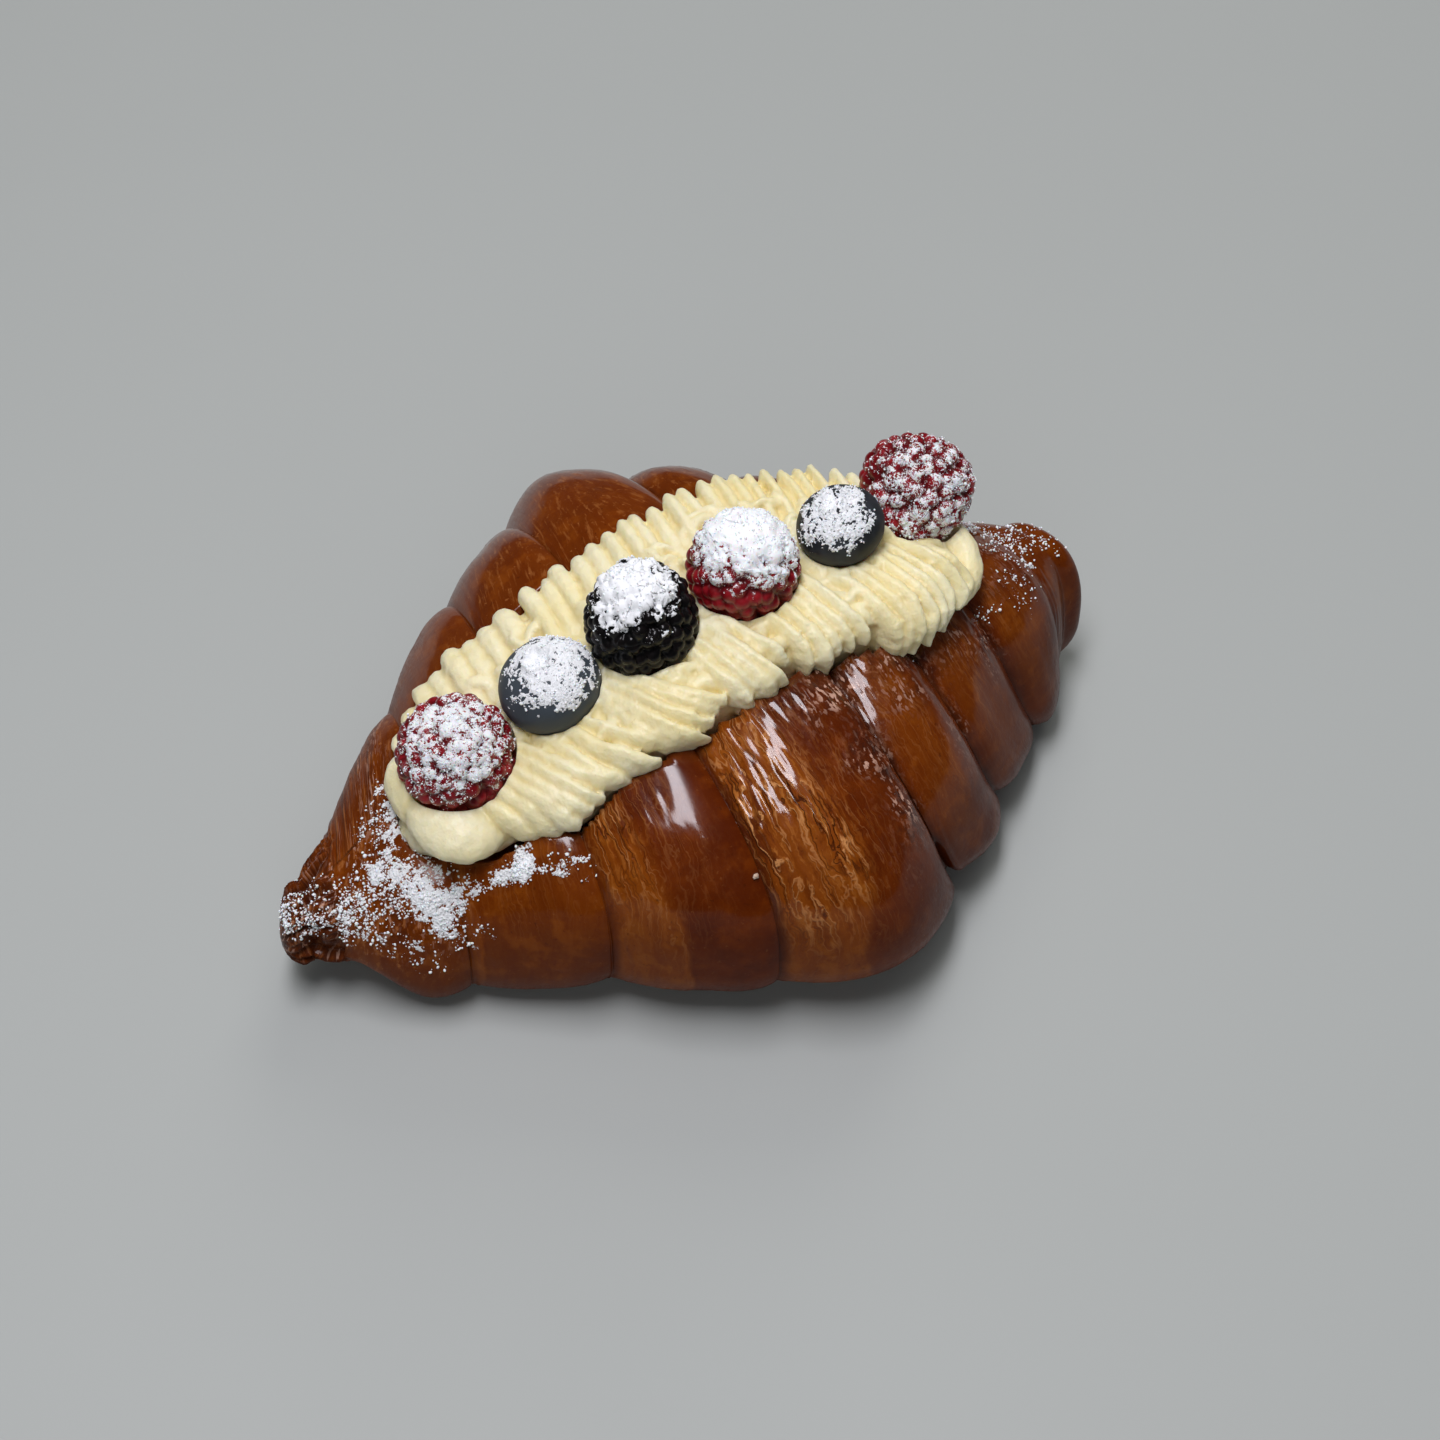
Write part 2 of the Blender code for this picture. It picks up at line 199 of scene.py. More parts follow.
# The cross-section: how square it is above and below its widest height.
ROUNDNESS_TOP = 2.5
ROUNDNESS_FOOT = 2.7
WIDEST_HEIGHT = 0.36
FOOT_SINK = 2.0
LEFT_TIP_LIFT = 7.5
RIGHT_TIP_LIFT = 3.0
TIP_LIFT_START = 60.0
TIP_BLUNTNESS = 3.0
LUMP_SIZE = 24.0
LUMP_HEIGHT = 1.3
# The mesh: how far apart the rings are, and how thinly the points lie on the hidden underside.
RING_GAP = 0.3
POINTS_AROUND = 300
HIDDEN_SHARE = 0.3

(
    TURN_STARTS, NEAR_REACHES, FAR_REACHES, TURN_HEIGHTS,
    SHOULDER_STEEPNESS, PALE_SHARES, STREAK_STRENGTHS,
) = TURNS.T
TURN_ENDS = np.append(TURN_STARTS, RIGHT_TIP)
TURN_MIDDLES = (TURN_ENDS[:-1] + TURN_ENDS[1:]) / 2


def curve_through(points, x):
    """A smooth curve through (x, value) points, flat beyond the first and the last."""
    xs, values = np.array(points, float).T
    before, after = np.r_[0, np.arange(len(xs) - 1)], np.r_[np.arange(1, len(xs)), len(xs) - 1]
    slopes = (values[after] - values[before]) / (xs[after] - xs[before])
    i = np.clip(np.searchsorted(xs, x, "right") - 1, 0, len(xs) - 2)
    gap = xs[i + 1] - xs[i]
    t = np.clip((x - xs[i]) / gap, 0, 1)
    blend = t * t * (3 - 2 * t)
    bend = slopes[i] * t * (1 - t) ** 2 + slopes[i + 1] * t * t * (t - 1)
    return values[i] + (values[i + 1] - values[i]) * blend + bend * gap


def smooth(low, high, value):
    """0 below low, 1 above high, and an S-curve between."""
    t = np.clip((value - low) / (high - low), 0, 1)
    return t * t * (3 - 2 * t)


def signed_power(value, exponent):
    return np.sign(value) * np.abs(value) ** exponent


def noise_at(*axes):
    """Soft noise from -1 to 1 at each point, given as its three coordinates."""
    axes = np.broadcast_arrays(*axes)
    points = np.stack([axis.ravel() for axis in axes], axis=1)
    return np.array([noise.noise(Vector(point)) for point in points]).reshape(axes[0].shape)


def pastry_skin(x, angle):
    """Points of the pastry's skin. Angle 0 is the far side, a quarter turn is the top."""
    number = np.clip(np.searchsorted(TURN_ENDS, x, "right") - 1, 0, len(TURNS) - 1)
    across = (x - TURN_ENDS[number]) / (TURN_ENDS[number + 1] - TURN_ENDS[number])
    near, far, height = (
        curve_through(np.column_stack([TURN_MIDDLES, values]), x)
        for values in (NEAR_REACHES, FAR_REACHES, TURN_HEIGHTS)
    )
    centre, reach_out = (near + far) / 2, (far - near) / 2
    end = smooth(TIP_LIFT_START, RIGHT_TIP, np.abs(x))
    lift = np.where(x < 0, LEFT_TIP_LIFT, RIGHT_TIP_LIFT) * end
    middle = lift + (height - lift) * WIDEST_HEIGHT
    side, up = np.cos(angle), np.sin(angle)
    roundness = np.where(up > 0, ROUNDNESS_TOP, ROUNDNESS_FOOT)
    reach_up = np.where(up > 0, height - middle, middle - lift + FOOT_SINK * (1 - end))
    y = reach_out * signed_power(side, 2 / roundness)
    z = reach_up * signed_power(up, 2 / roundness)
    steepness = SHOULDER_STEEPNESS[number]
    swell = np.where(
        across < 0.5, 1 - np.abs(1 - 2 * across) ** SLOW_SIDE, 1 - np.abs(2 * across - 1) ** steepness
    )
    reach = np.hypot(y, z)
    seam_depth = SEAM_DEPTH * SEAM_SHARES[number + (across > 0.5)]
    shrink = 1 - seam_depth * (1 - swell) / np.maximum(reach, SEAM_DEPTH)
    tip = ((number == 0) & (across < 0.5)) | ((number == len(TURNS) - 1) & (across > 0.5))
    closed = np.maximum(0, 1 - np.abs(2 * across - 1) ** TIP_BLUNTNESS) ** 0.5
    shrink = np.where(tip, closed, shrink)
    lump = noise_at(x / LUMP_SIZE, y / LUMP_SIZE, z / LUMP_SIZE) * LUMP_HEIGHT
    shrink = shrink + shrink * lump / np.maximum(reach, LUMP_SIZE)
    y, z = y * shrink, np.maximum(0.0, middle + z * shrink)
    fan = curve_through(SEAM_SLANT, x) * y
    slide = curve_through(SEAM_SLIDE, x) * np.maximum(0.0, 1 - z / height) ** 2
    overhang = SHOULDER_OVERHANG * smooth(0.7, 0.93, across) * (1 - smooth(0.95, 1.0, across)) * (~tip)
    overhang *= np.where(steepness > 4, 1.0, 0.3)
    return np.stack([x + fan + slide + overhang, centre + y, z], axis=-1), number, across


def mark(piece, name, values):
    """Stores a value for each point of the piece, for its material to read."""
    values = np.asarray(values, np.float32)
    kind, field = ("FLOAT", "value") if values.ndim == 1 else ("FLOAT_VECTOR", "vector")
    stored = piece.data.attributes.new(name, kind, "POINT")
    stored.data.foreach_set(field, values.ravel())


def closed_rings(rings, around):
    """Faces of a tube of rings that ends in one point at each side, those two points last."""
    faces = []
    first_pole, last_pole = rings * around, rings * around + 1
    for i in range(rings - 1):
        for j in range(around):
            k = (j + 1) % around
            faces.append((i * around + j, i * around + k, (i + 1) * around + k, (i + 1) * around + j))
    for j in range(around):
        k = (j + 1) % around
        faces.append((k, j, first_pole))
        faces.append(((rings - 1) * around + j, (rings - 1) * around + k, last_pole))
    return faces


# Rings crowd a little at the seams. Points crowd on the part of the skin that isn't underneath.
stations = []
for a, b in zip(TURN_ENDS, TURN_ENDS[1:]):
    rings = int((b - a) / RING_GAP)
    ring_share = np.arange(rings) / rings
    stations.append(a + (0.5 * ring_share + 0.5 * (0.5 - 0.5 * np.cos(np.pi * ring_share))) * (b - a))
stations = np.concatenate(stations)[1:]
trial = np.linspace(-math.pi, math.pi, 4001)
outline = pastry_skin(np.full_like(trial, 1.0), trial)[0]
steps = np.linalg.norm(np.diff(outline, axis=0), axis=1)
steps *= np.where(outline[1:, 2] < 2.0, HIDDEN_SHARE, 1.0)
passed = np.r_[0, np.cumsum(steps)] / steps.sum()
# Starts underneath, so that the seam of the streaks lies there.
angles = np.interp(np.arange(POINTS_AROUND) / POINTS_AROUND, passed, trial) - math.pi / 2
grid_x, grid_angle = np.meshgrid(stations, angles, indexing="ij")
skin, turn_number, across = pastry_skin(grid_x, grid_angle)

# How far round each point is from the top, in millimetres, positive toward the far side.
steps_round = np.linalg.norm(np.diff(skin, axis=1), axis=2)
round_way = np.concatenate([np.zeros((len(stations), 1)), np.cumsum(steps_round, axis=1)], axis=1)
top_column = np.argmin(np.abs(np.mod(angles, 2 * math.pi) - math.pi / 2))
round_way = round_way[:, top_column : top_column + 1] - round_way
from_start = grid_x - TURN_ENDS[turn_number]
level, sideways = skin[..., 2], skin[..., 1]
is_top_side = smooth(2.0, 12.0, level)

# Which way is out, from the neighbours on the grid.
along_x = np.gradient(skin, axis=0)
along_round = np.roll(skin, -1, axis=1) - np.roll(skin, 1, axis=1)
outward = np.cross(along_round, along_x)
outward /= np.maximum(1e-9, np.linalg.norm(outward, axis=2))[..., None]
outward *= np.sign((outward * (skin - skin.mean(axis=1, keepdims=True))).sum(axis=2).mean())

# The pale share of each turn, its ragged right edge, and the streaks that run along the turn.
pale_share, streak_strength = PALE_SHARES[turn_number], STREAK_STRENGTHS[turn_number]
right_half = turn_number > 4
near_side = 1 - smooth(-24.0, -6.0, sideways)
wobble = 0.05 * noise_at(turn_number * 5.3, round_way / 14.0, 0.5)
wobble += 0.015 * noise_at(from_start, round_way / 3.0, 3.5)
high = smooth(20.0, 40.0, level)
blur = 0.014 + 0.07 * high
# Higher up, the pale share widens on the widest turn and narrows on the others.
pale_reach = pale_share * (1 + np.where(turn_number == 4, 0.42, -0.35) * high)
pale = (1 - smooth(-1.0, 1.0, (across - pale_reach - wobble) / blur)) * (pale_share > 0)
pale *= smooth(0.0, 0.06, across) * (0.2 + 0.8 * near_side)
# The left end and the far side baked a little lighter all over.
pale = np.maximum(pale, np.maximum(0.45 * (1 - smooth(-42.0, -30.0, grid_x)), 0.34 * (1 - near_side)))
# The middles of the turns on the right half stayed more orange than their seams.
bright_middle = smooth(0.02, 0.3, across) * (1 - smooth(0.5, 0.85, across)) * smooth(10.0, 26.0, level)
pale = np.maximum(pale, 0.5 * bright_middle * near_side * right_half)
other_turn = turn_number * 3.7
fan = from_start * (1 + 0.10 * smooth(0.0, -40.0, sideways))
fan += 0.7 * noise_at(from_start / 4.0, round_way / 9.0, other_turn + 90)
fan += 0.28 * noise_at(from_start / 1.6, round_way / 3.5, other_turn + 95)
streak_base = noise_at(fan / 0.95, round_way / 8.0, other_turn)
streak_fine = noise_at(fan / 0.45, round_way / 5.0, other_turn + 40)
streaks = (1 - 2 * np.abs(streak_base)) * 0.6 + streak_fine * 0.6
# The streaks are strongest on the pale share, high up on the near side, and fade downward.
high_up = 0.05 + 0.95 * smooth(18.0, 42.0, level)
spread_out = np.maximum(pale * near_side, 0.30 * smooth(0.95, 0.3, across) * near_side)
streak_amount = streak_strength * high_up * spread_out * is_top_side * (0.04 + 0.96 * near_side)
in_patches = smooth(-0.35, 0.45, noise_at(from_start / 5.0, round_way / 18.0, turn_number + 80))
streak_amount *= 0.55 + 0.75 * in_patches

# Broad dents of the glossy skin, small blisters, and the layers fanned open at the left tip.
DENT_HEIGHT = 0.30
RIPPLE_HEIGHT = 0.05
BLISTER_HEIGHT = 0.08
SEAM_LAYER_HEIGHT = 0.22
STREAK_HEIGHT = 0.34
TIP_LAYER_HEIGHT = 1.2
dents = noise_at(from_start / 8.0, round_way / 24.0, turn_number * 1.9 + 7)
ripples = noise_at(from_start / 2.6, round_way / 8.0, turn_number * 2.3 + 17)
blisters = smooth(0.30, 0.65, noise_at(grid_x / 1.5, round_way / 1.8, 11.0))
left_tip = 1 - smooth(-75.5, -70.5, grid_x + 1.5 * noise_at(grid_x / 3.0, round_way / 3.0, 29.0))
tip_turn = np.mod(grid_angle, 2 * math.pi) * 9.0 + 2.2 * noise_at(grid_x / 5.0, grid_angle * 1.5, 51.0)
tip_layers = 1 - np.abs(noise_at(grid_x / 14.0, tip_turn / 2.3, 23.0)) * 3.2
tip_layers += 0.35 * noise_at(grid_x / 1.4, tip_turn / 1.3, 37.0)
tip_layers = np.maximum(tip_layers, -0.9)
seam_layers = (1 - smooth(0.8, 4.5, from_start)) * near_side
seam_layers *= noise_at(fan / 0.8, round_way / 16.0, turn_number + 120)
relief = STREAK_HEIGHT * streaks * streak_amount + DENT_HEIGHT * (1 + right_half) * dents
relief += RIPPLE_HEIGHT * ripples + BLISTER_HEIGHT * blisters + SEAM_LAYER_HEIGHT * seam_layers
relief += TIP_LAYER_HEIGHT * tip_layers * left_tip * smooth(0.0, 4.0, grid_x - TURN_ENDS[0])

# Rough flaky skin: along the near side of the cream on the right half, down beside the seams
# there, and over the left end.
ROUGH_HEIGHT = 0.40
FINE_ROUGH_HEIGHT = 0.20
FLAKE_GAP = 2.7
FLAKE_HEIGHT = 0.22
by_cream = smooth(-43.0, -34.0, sideways) * smooth(35.0, 40.0, level) * smooth(-12.0, 4.0, grid_x)
by_seam = np.maximum(smooth(0.58, 0.85, across) * (turn_number > 3), smooth(0.16, 0.04, across) * right_half)
by_seam = by_seam * smooth(25.0, 38.0, level)
left_end = 0.6 * (1 - smooth(-64.0, -50.0, grid_x)) * smooth(10.0, 20.0, level)
flaky = np.maximum(np.maximum(by_cream, by_seam) * near_side * (1 - 0.7 * pale), left_end) * is_top_side
flaky *= 0.25 + 0.75 * smooth(-0.25, 0.3, noise_at(grid_x / 5.0, round_way / 7.0, 71.0))
flaky = np.maximum(flaky, 0.9 * left_tip)
rough_relief = ROUGH_HEIGHT * noise_at(fan / 1.2, round_way / 2.2, 75.0)
rough_relief += FINE_ROUGH_HEIGHT * noise_at(fan / 0.7, round_way / 0.9, 79.0)
relief += flaky * rough_relief * (0.35 + 0.65 * near_side)
flake_wave = 0.8 * noise_at(from_start / 6.0, round_way / 10.0, 60.0)
relief += FLAKE_HEIGHT * np.mod(from_start / FLAKE_GAP + flake_wave, 1.0) ** 3 * streak_amount

# The crack that gapes low on the near side, where the widest turn ends.
CRACK_WIDTH = 0.8
CRACK_DEPTH = 1.5
crack = np.exp(-(((grid_x - TURN_ENDS[5]) / CRACK_WIDTH) ** 2)) * near_side
crack *= smooth(2.0, 6.0, level) * (1 - smooth(20.0, 27.0, level))
relief -= CRACK_DEPTH * crack
relief *= smooth(0.3, 4.0, level)
skin = skin + outward * relief[..., None]
skin[..., 2] = np.maximum(skin[..., 2], 0.0)

# The slit along the top that the cream fills. The cream's edges on both sides, its top and its
# bottom are (x, value) points, and its ends close in a round over their last few millimetres.
CREAM_LEFT = -61.0
CREAM_RIGHT = 51.5
CREAM_NEAR = (
    (-62, -22), (-50, -25), (-45, -25.5), (-37, -29.5), (-28, -28.5), (-8, -28.5),
    (12, -27), (26, -29), (36, -26.5), (51, -19),
)
CREAM_FAR = (
    (-62, 2), (-49, 11.5), (-34, 15), (-8, 17),
    (10, 18.5), (22, 15), (34, 10), (44, 3), (51, -6),
)
CREAM_TOP = ((-62, 34), (-50, 39.5), (-32, 46.5), (-14, 52.5), (8, 55), (28, 54.5), (42, 51), (51, 46))
CREAM_BOTTOM = ((-62, 27), (-45, 21), (0, 17), (40, 22), (51, 32))
CREAM_EDGE_DROP = 7.0
CREAM_ROUNDNESS = 2.5
CREAM_END_ROUNDING = 15.0
CREAM_END_ROUNDNESS = 2.2
SLIT_WIDTH = 0.5
SLIT_NARROWS = (0.3, 0.9)
# How far the cream reaches into the slit's walls, and how much further in the far wall at its
# right end, so that no gap opens there.
SLIT_GRIP = 1.5
FAR_RIGHT_GRIP = 2.9


def cream_section(x):
    """The mound at station x: its middle, half width, waist height, depth and closing."""
    near, far = curve_through(CREAM_NEAR, x), curve_through(CREAM_FAR, x)
    end = np.clip(np.minimum(x - CREAM_LEFT, CREAM_RIGHT - x) / CREAM_END_ROUNDING, 0, 1)
    close = (1 - (1 - end) ** CREAM_END_ROUNDNESS) ** 0.5
    waist = curve_through(CREAM_TOP, x) - CREAM_EDGE_DROP
    return (near + far) / 2, (far - near) / 2, waist, waist - curve_through(CREAM_BOTTOM, x), close


down = np.linspace(1.0, 0.0, 60)
slit_half = (1 - (1 - SLIT_WIDTH) * smooth(*SLIT_NARROWS, down)) * np.sqrt(1 - down**2)
middle, half, waist, depth, close = cream_section(skin[..., 0])
far_right = smooth(34.0, 40.0, skin[..., 0]) * (skin[..., 1] > middle)
slit_reach = (half - SLIT_GRIP - FAR_RIGHT_GRIP * far_right) * close
aside = np.abs(skin[..., 1] - middle) / np.maximum(0.1, slit_reach)
slit_floor = waist - depth * close * np.interp(aside, slit_half, down)
in_slit = (aside < 1) & (close > 0.05) & (skin[..., 2] > 15)
skin[..., 2] = np.where(in_slit, np.minimum(skin[..., 2], slit_floor), skin[..., 2])

# Icing sugar on the crust: centre of each dusted place, its radius, and how dense it lies.
SUGAR_PLACES = (
    ((-60.6, -21.5, 24.0), 8.4, 0.66), ((-65.0, -14.0, 26.0), 9.5, 0.54), ((-61.5, -6.0, 28.5), 7.5, 0.53),
    ((-58.0, 1.5, 29.0), 5.0, 0.42), ((-72.0, -14.0, 20.0), 9.0, 0.42), ((-79.0, -9.0, 18.0), 9.0, 0.41),
    ((-67.0, -24.0, 16.0), 8.0, 0.41), ((-58.5, -27.5, 20.0), 7.0, 0.42), ((-47.5, -26.5, 32.0), 4.0, 0.80),
    ((-51.0, -25.0, 29.5), 3.2, 0.56), ((-43.0, -30.5, 33.0), 3.8, 0.52), ((-45.0, -29.5, 32.5), 2.8, 0.6),
    ((-54.0, -24.0, 27.0), 2.8, 0.52), ((-57.0, -23.5, 25.0), 2.8, 0.52), ((-39.5, -33.0, 33.5), 3.4, 0.36),
    ((59.0, -11.0, 37.0), 11.0, 0.31), ((66.0, -10.0, 32.0), 8.0, 0.25), ((56.0, -20.0, 36.0), 8.0, 0.26),
    ((55.0, -5.0, 38.0), 6.0, 0.31), ((47.0, -25.5, 38.5), 5.0, 0.27), ((30.0, -30.0, 44.0), 4.0, 0.22),
)
RIM_SOFTNESS = 0.75


def dusted(points):
    """How densely sugar lies at points in millimetres from under the berries."""
    density = np.zeros(points.shape[:-1])
    x, y, z = np.moveaxis(points, -1, 0)
    ragged = 3.2 * noise_at(x / 5.0, y / 5.0, z / 5.0)
    ragged += 1.6 * noise_at(x / 1.7, y / 1.7, z / 1.7 + 9.0)
    for spot, radius, most in SUGAR_PLACES:
        away = np.linalg.norm(points - np.array(spot), axis=-1) + ragged * min(1.0, radius / 6.0)
        density = np.maximum(density, most * (1 - smooth(radius * (1 - RIM_SOFTNESS), radius * 1.25, away)))
    return density


sugar = dusted(skin) * smooth(-0.2, 0.5, outward[..., 2])
sugar *= 1 - 0.5 * left_tip * smooth(0.4, -0.2, tip_layers)

# How deep in a seam, a gap between the tip's layers or the crack each point lies, as the mask of the painted
# shade there.
turn_width = (TURN_ENDS[1:] - TURN_ENDS[:-1])[turn_number]
seam_gap = np.minimum(from_start, 1.6 * (turn_width - from_start))
crease = 1 - smooth(0.0, 1.5, seam_gap + 0.5 * noise_at(grid_x / 3.0, round_way / 3.0, 33.0))
crease *= SEAM_SHARES[turn_number + (across > 0.5)] ** 2
crease = np.maximum(crease, left_tip * (0.2 + 0.8 * smooth(0.5, -0.2, tip_layers)))
crease = np.maximum(crease, crack)

first_tip = pastry_skin(np.array([TURN_ENDS[0]]), np.array([0.0]))[0]
last_tip = pastry_skin(np.array([RIGHT_TIP]), np.array([0.0]))[0]
shift = np.array([*ORIGIN_SHIFT, 0.0])
pastry_points = np.concatenate([skin.reshape(-1, 3), first_tip, last_tip])
pastry_points = (pastry_points + shift) * MM

crust_finish, surface = new_finish(
    "crust_finish", coat_roughness=0.11, coat_ior=1.46, specular_ior_level=0.03
)


def sum_of(operation, first, second=0.0):
    """The output of a Math node. One of the two at least is a socket."""
    near = first if isinstance(first, bpy.types.NodeSocket) else second
    return add_node(near, "ShaderNodeMath", {0: first, 1: second}, operation=operation).outputs[0]


def times(first, second):
    return sum_of("MULTIPLY", first, second)


def plus(first, second):
    return sum_of("ADD", first, second)


def blend_colour(share, first, second):
    """first and second, each a colour or a socket, mixed by share."""
    ends = [end if isinstance(end, bpy.types.NodeSocket) else (*end, 1.0) for end in (first, second)]
    inputs = {0: share, 6: ends[0], 7: ends[1]}
    return add_node(share, "ShaderNodeMix", inputs, data_type="RGBA", blend_type="MIX").outputs[2]


def read_mark(near, name, output="Fac"):
    return add_node(near, "ShaderNodeAttribute", attribute_name=name).outputs[output]


# The powder: its lumps for each metre at clump size 1, how strongly its density covers what is
# below, and what noise and density together must pass before any powder shows.
POWDER_LUMPS = 620.0
POWDER_COVER = 1.35
POWDER_START = 0.90


def sugar_group():
    """The dusting of icing sugar: turns how densely it lies into separate clumps of powder."""
    group = bpy.data.node_groups.new("icing_sugar", "ShaderNodeTree")
    group.interface.new_socket("Place", in_out="INPUT", socket_type="NodeSocketVector")
    for name, usual in (("Density", 0.5), ("Clump Size", 1.0)):
        socket = group.interface.new_socket(name, in_out="INPUT", socket_type="NodeSocketFloat")
        socket.default_value = usual
    for name in ("Mask", "Height"):
        group.interface.new_socket(name, in_out="OUTPUT", socket_type="NodeSocketFloat")
    given = add_node(group, "NodeGroupInput").outputs
    result = add_node(group, "NodeGroupOutput").inputs
    scale = sum_of("DIVIDE", POWDER_LUMPS, given["Clump Size"])
    powder = {"Vector": given["Place"], "Scale": scale, "Detail": 5.0, "Roughness": 0.72}
    clumps = add_node(group, "ShaderNodeTexNoise", powder).outputs["Fac"]
    fine = {"Vector": given["Place"], "Scale": times(scale, 5.0)}
    grains = add_node(group, "ShaderNodeTexVoronoi", fine).outputs["Distance"]
    rise = plus(spread(clumps, 0.28, 0.72, kind="LINEAR"), times(grains, -0.40))
    over = plus(plus(rise, times(given["Density"], POWDER_COVER)), -POWDER_START)
    group.links.new(spread(over, 0.0, 0.10), result["Mask"])
    group.links.new(spread(over, 0.0, 0.5, kind="LINEAR"), result["Height"])
    return group


ICING_SUGAR = sugar_group()
SUGAR_COLOUR = (0.93, 0.945, 0.955)
SUGAR_ROUGHNESS = 0.9


def dusting(surface, place, clump_size):
    """The group of icing sugar placed in a finish: its mask and its height."""
    inputs = {"Place": place, "Density": read_mark(surface, "sugar"), "Clump Size": clump_size}
    return add_node(surface, "ShaderNodeGroup", inputs, node_tree=ICING_SUGAR).outputs


def stirred(place, reach, size):
    """place shifted by soft noise, at most reach millimetres, with lumps about size across."""
    soft = add_node(place, "ShaderNodeTexNoise", {"Vector": place, "Scale": 0.6 / (size * MM), "Detail": 2.0})
    inputs = {0: soft.outputs["Color"], 1: [2 * reach * MM] * 3, 2: place}
    return add_node(place, "ShaderNodeVectorMath", inputs, operation="MULTIPLY_ADD").outputs[0]


def stretched(place, share):
    """place squeezed along the turn, so that what is drawn on it is drawn out that way."""
    inputs = {"Vector": place, "Scale": (1.0, share, 1.0)}
    return add_node(place, "ShaderNodeMapping", inputs, vector_type="POINT").outputs[0]


def thin_lines(value, level, width):
    """1 where value is at level, falling to 0 at width to either side of it."""
    return spread(sum_of("ABSOLUTE", sum_of("SUBTRACT", value, level)), 0.0, width, 1.0, 0.0)


def bumped(height, depth=1.0, strength=1.0):
    """The normal of a surface whose height, from 0 to 1, stands for depth millimetres."""
    inputs = {"Height": height, "Distance": depth * MM, "Strength": strength}
    return add_node(height, "ShaderNodeBump", inputs).outputs["Normal"]


place = own_place(surface)
grain = read_mark(surface, "grain", "Vector")
pale_mark, flaky_mark, streaky, speck_mark = (
    read_mark(surface, name) for name in ("pale", "flaky", "streak_amount", "specks")
)
dust = dusting(surface, place, 1.5)
fibre_place = stretched(stirred(stirred(grain, 0.7, 2.4), 0.28, 0.8), 0.09)
wrinkles = speckle(fibre_place, 0.7, 1.5, 0.5)
# Thin light lines along the wrinkles, raised and partly painted as glints, and thin dark lines, sunk.
glint_lines = thin_lines(wrinkles, 0.50, 0.040)
dark_lines = thin_lines(wrinkles, 0.39, 0.035)
fibres = speckle(fibre_place, 0.30, 3.0, 0.6)
broad_fibres = speckle(fibre_place, 0.85, 3.0, 0.6)
crag_place = stretched(grain, 0.45)
crags = speckle(crag_place, 0.75, 4.0, 0.65)
bake = speckle(place, 11.0, 4.0, 0.6)
mottle = speckle(place, 2.8, 3.0, 0.6)
pores = speckle(place, 0.6, 3.0, 0.6)
glints = times(flaky_mark, spread(speckle(crag_place, 0.36, 2.0, 0.5), 0.555, 0.625))
glints = times(glints, spread(speckle(grain, 4.5, 1.0), 0.45, 0.60, 0.15, 1.0))

glossy_crust = blend_colour(spread(bake, 0.36, 0.64), (0.080, 0.0105, 0.0003), (0.128, 0.0205, 0.0006))
glossy_crust = blend_colour(spread(mottle, 0.47, 0.70, 0.0, 0.45), glossy_crust, (0.180, 0.0340, 0.0012))
pale_crust = blend_colour(
    spread(broad_fibres, 0.30, 0.70), (0.185, 0.0360, 0.0012), (0.245, 0.0580, 0.0034)
)
colour = blend_colour(times(pale_mark, 0.9), glossy_crust, pale_crust)
# Each colour is laid over those before it, where its share says.
for share, tint in (
    # Light patches of the pale share, and its light and dark fibres and wrinkles; the light fibres and light
    # wrinkle lines are partly painted glints.
    (times(spread(mottle, 0.52, 0.66, 0.0, 0.5), pale_mark), (0.285, 0.0760, 0.0050)),
    (times(spread(fibres, 0.50, 0.64, 0.0, 0.85), streaky), (0.40, 0.130, 0.020)),
    (times(spread(broad_fibres, 0.50, 0.36), times(streaky, 0.55)), (0.060, 0.0085, 0.0006)),
    (times(dark_lines, times(streaky, 0.8)), (0.042, 0.0060, 0.0006)),
    (times(glint_lines, times(streaky, 0.9)), (0.58, 0.255, 0.085)),
    # Dark pores, and light specks that are partly painted glints.
    (spread(pores, 0.64, 0.74, 0.0, 0.45), (0.045, 0.0070, 0.0006)),
    (times(spread(pores, 0.36, 0.28, 0.0, 0.6), speck_mark), (0.42, 0.150, 0.040)),
    # Dark hollows of the flaky skin, partly its colour and partly painted shade; its lighter crests and
    # glints, painted highlights; the golden flecks of the left end, partly painted glints.
    (times(flaky_mark, spread(crags, 0.35, 0.58, 0.95, 0.2)), (0.045, 0.0110, 0.0050)),
    (times(flaky_mark, spread(crags, 0.54, 0.68, 0.0, 0.7)), (0.29, 0.120, 0.070)),
    (glints, (0.56, 0.33, 0.24)),
    (times(sum_of("POWER", speck_mark, 2.0), spread(crags, 0.53, 0.66, 0.0, 0.6)), (0.36, 0.125, 0.030)),
    # Painted shade in the seams, the gaps of the tip's layers and the crack; the painted sheen near the foot;
    # and the sugar.
    (times(read_mark(surface, "crease"), 0.6), (0.026, 0.0045, 0.0008)),
    # Painted sheen: the lower sides turn greyer and bluer, standing in for the table's reflection.
    (read_mark(surface, "underside"), (0.105, 0.0270, 0.0095)),
    (dust["Mask"], SUGAR_COLOUR),
):
    colour = blend_colour(share, colour, tint)

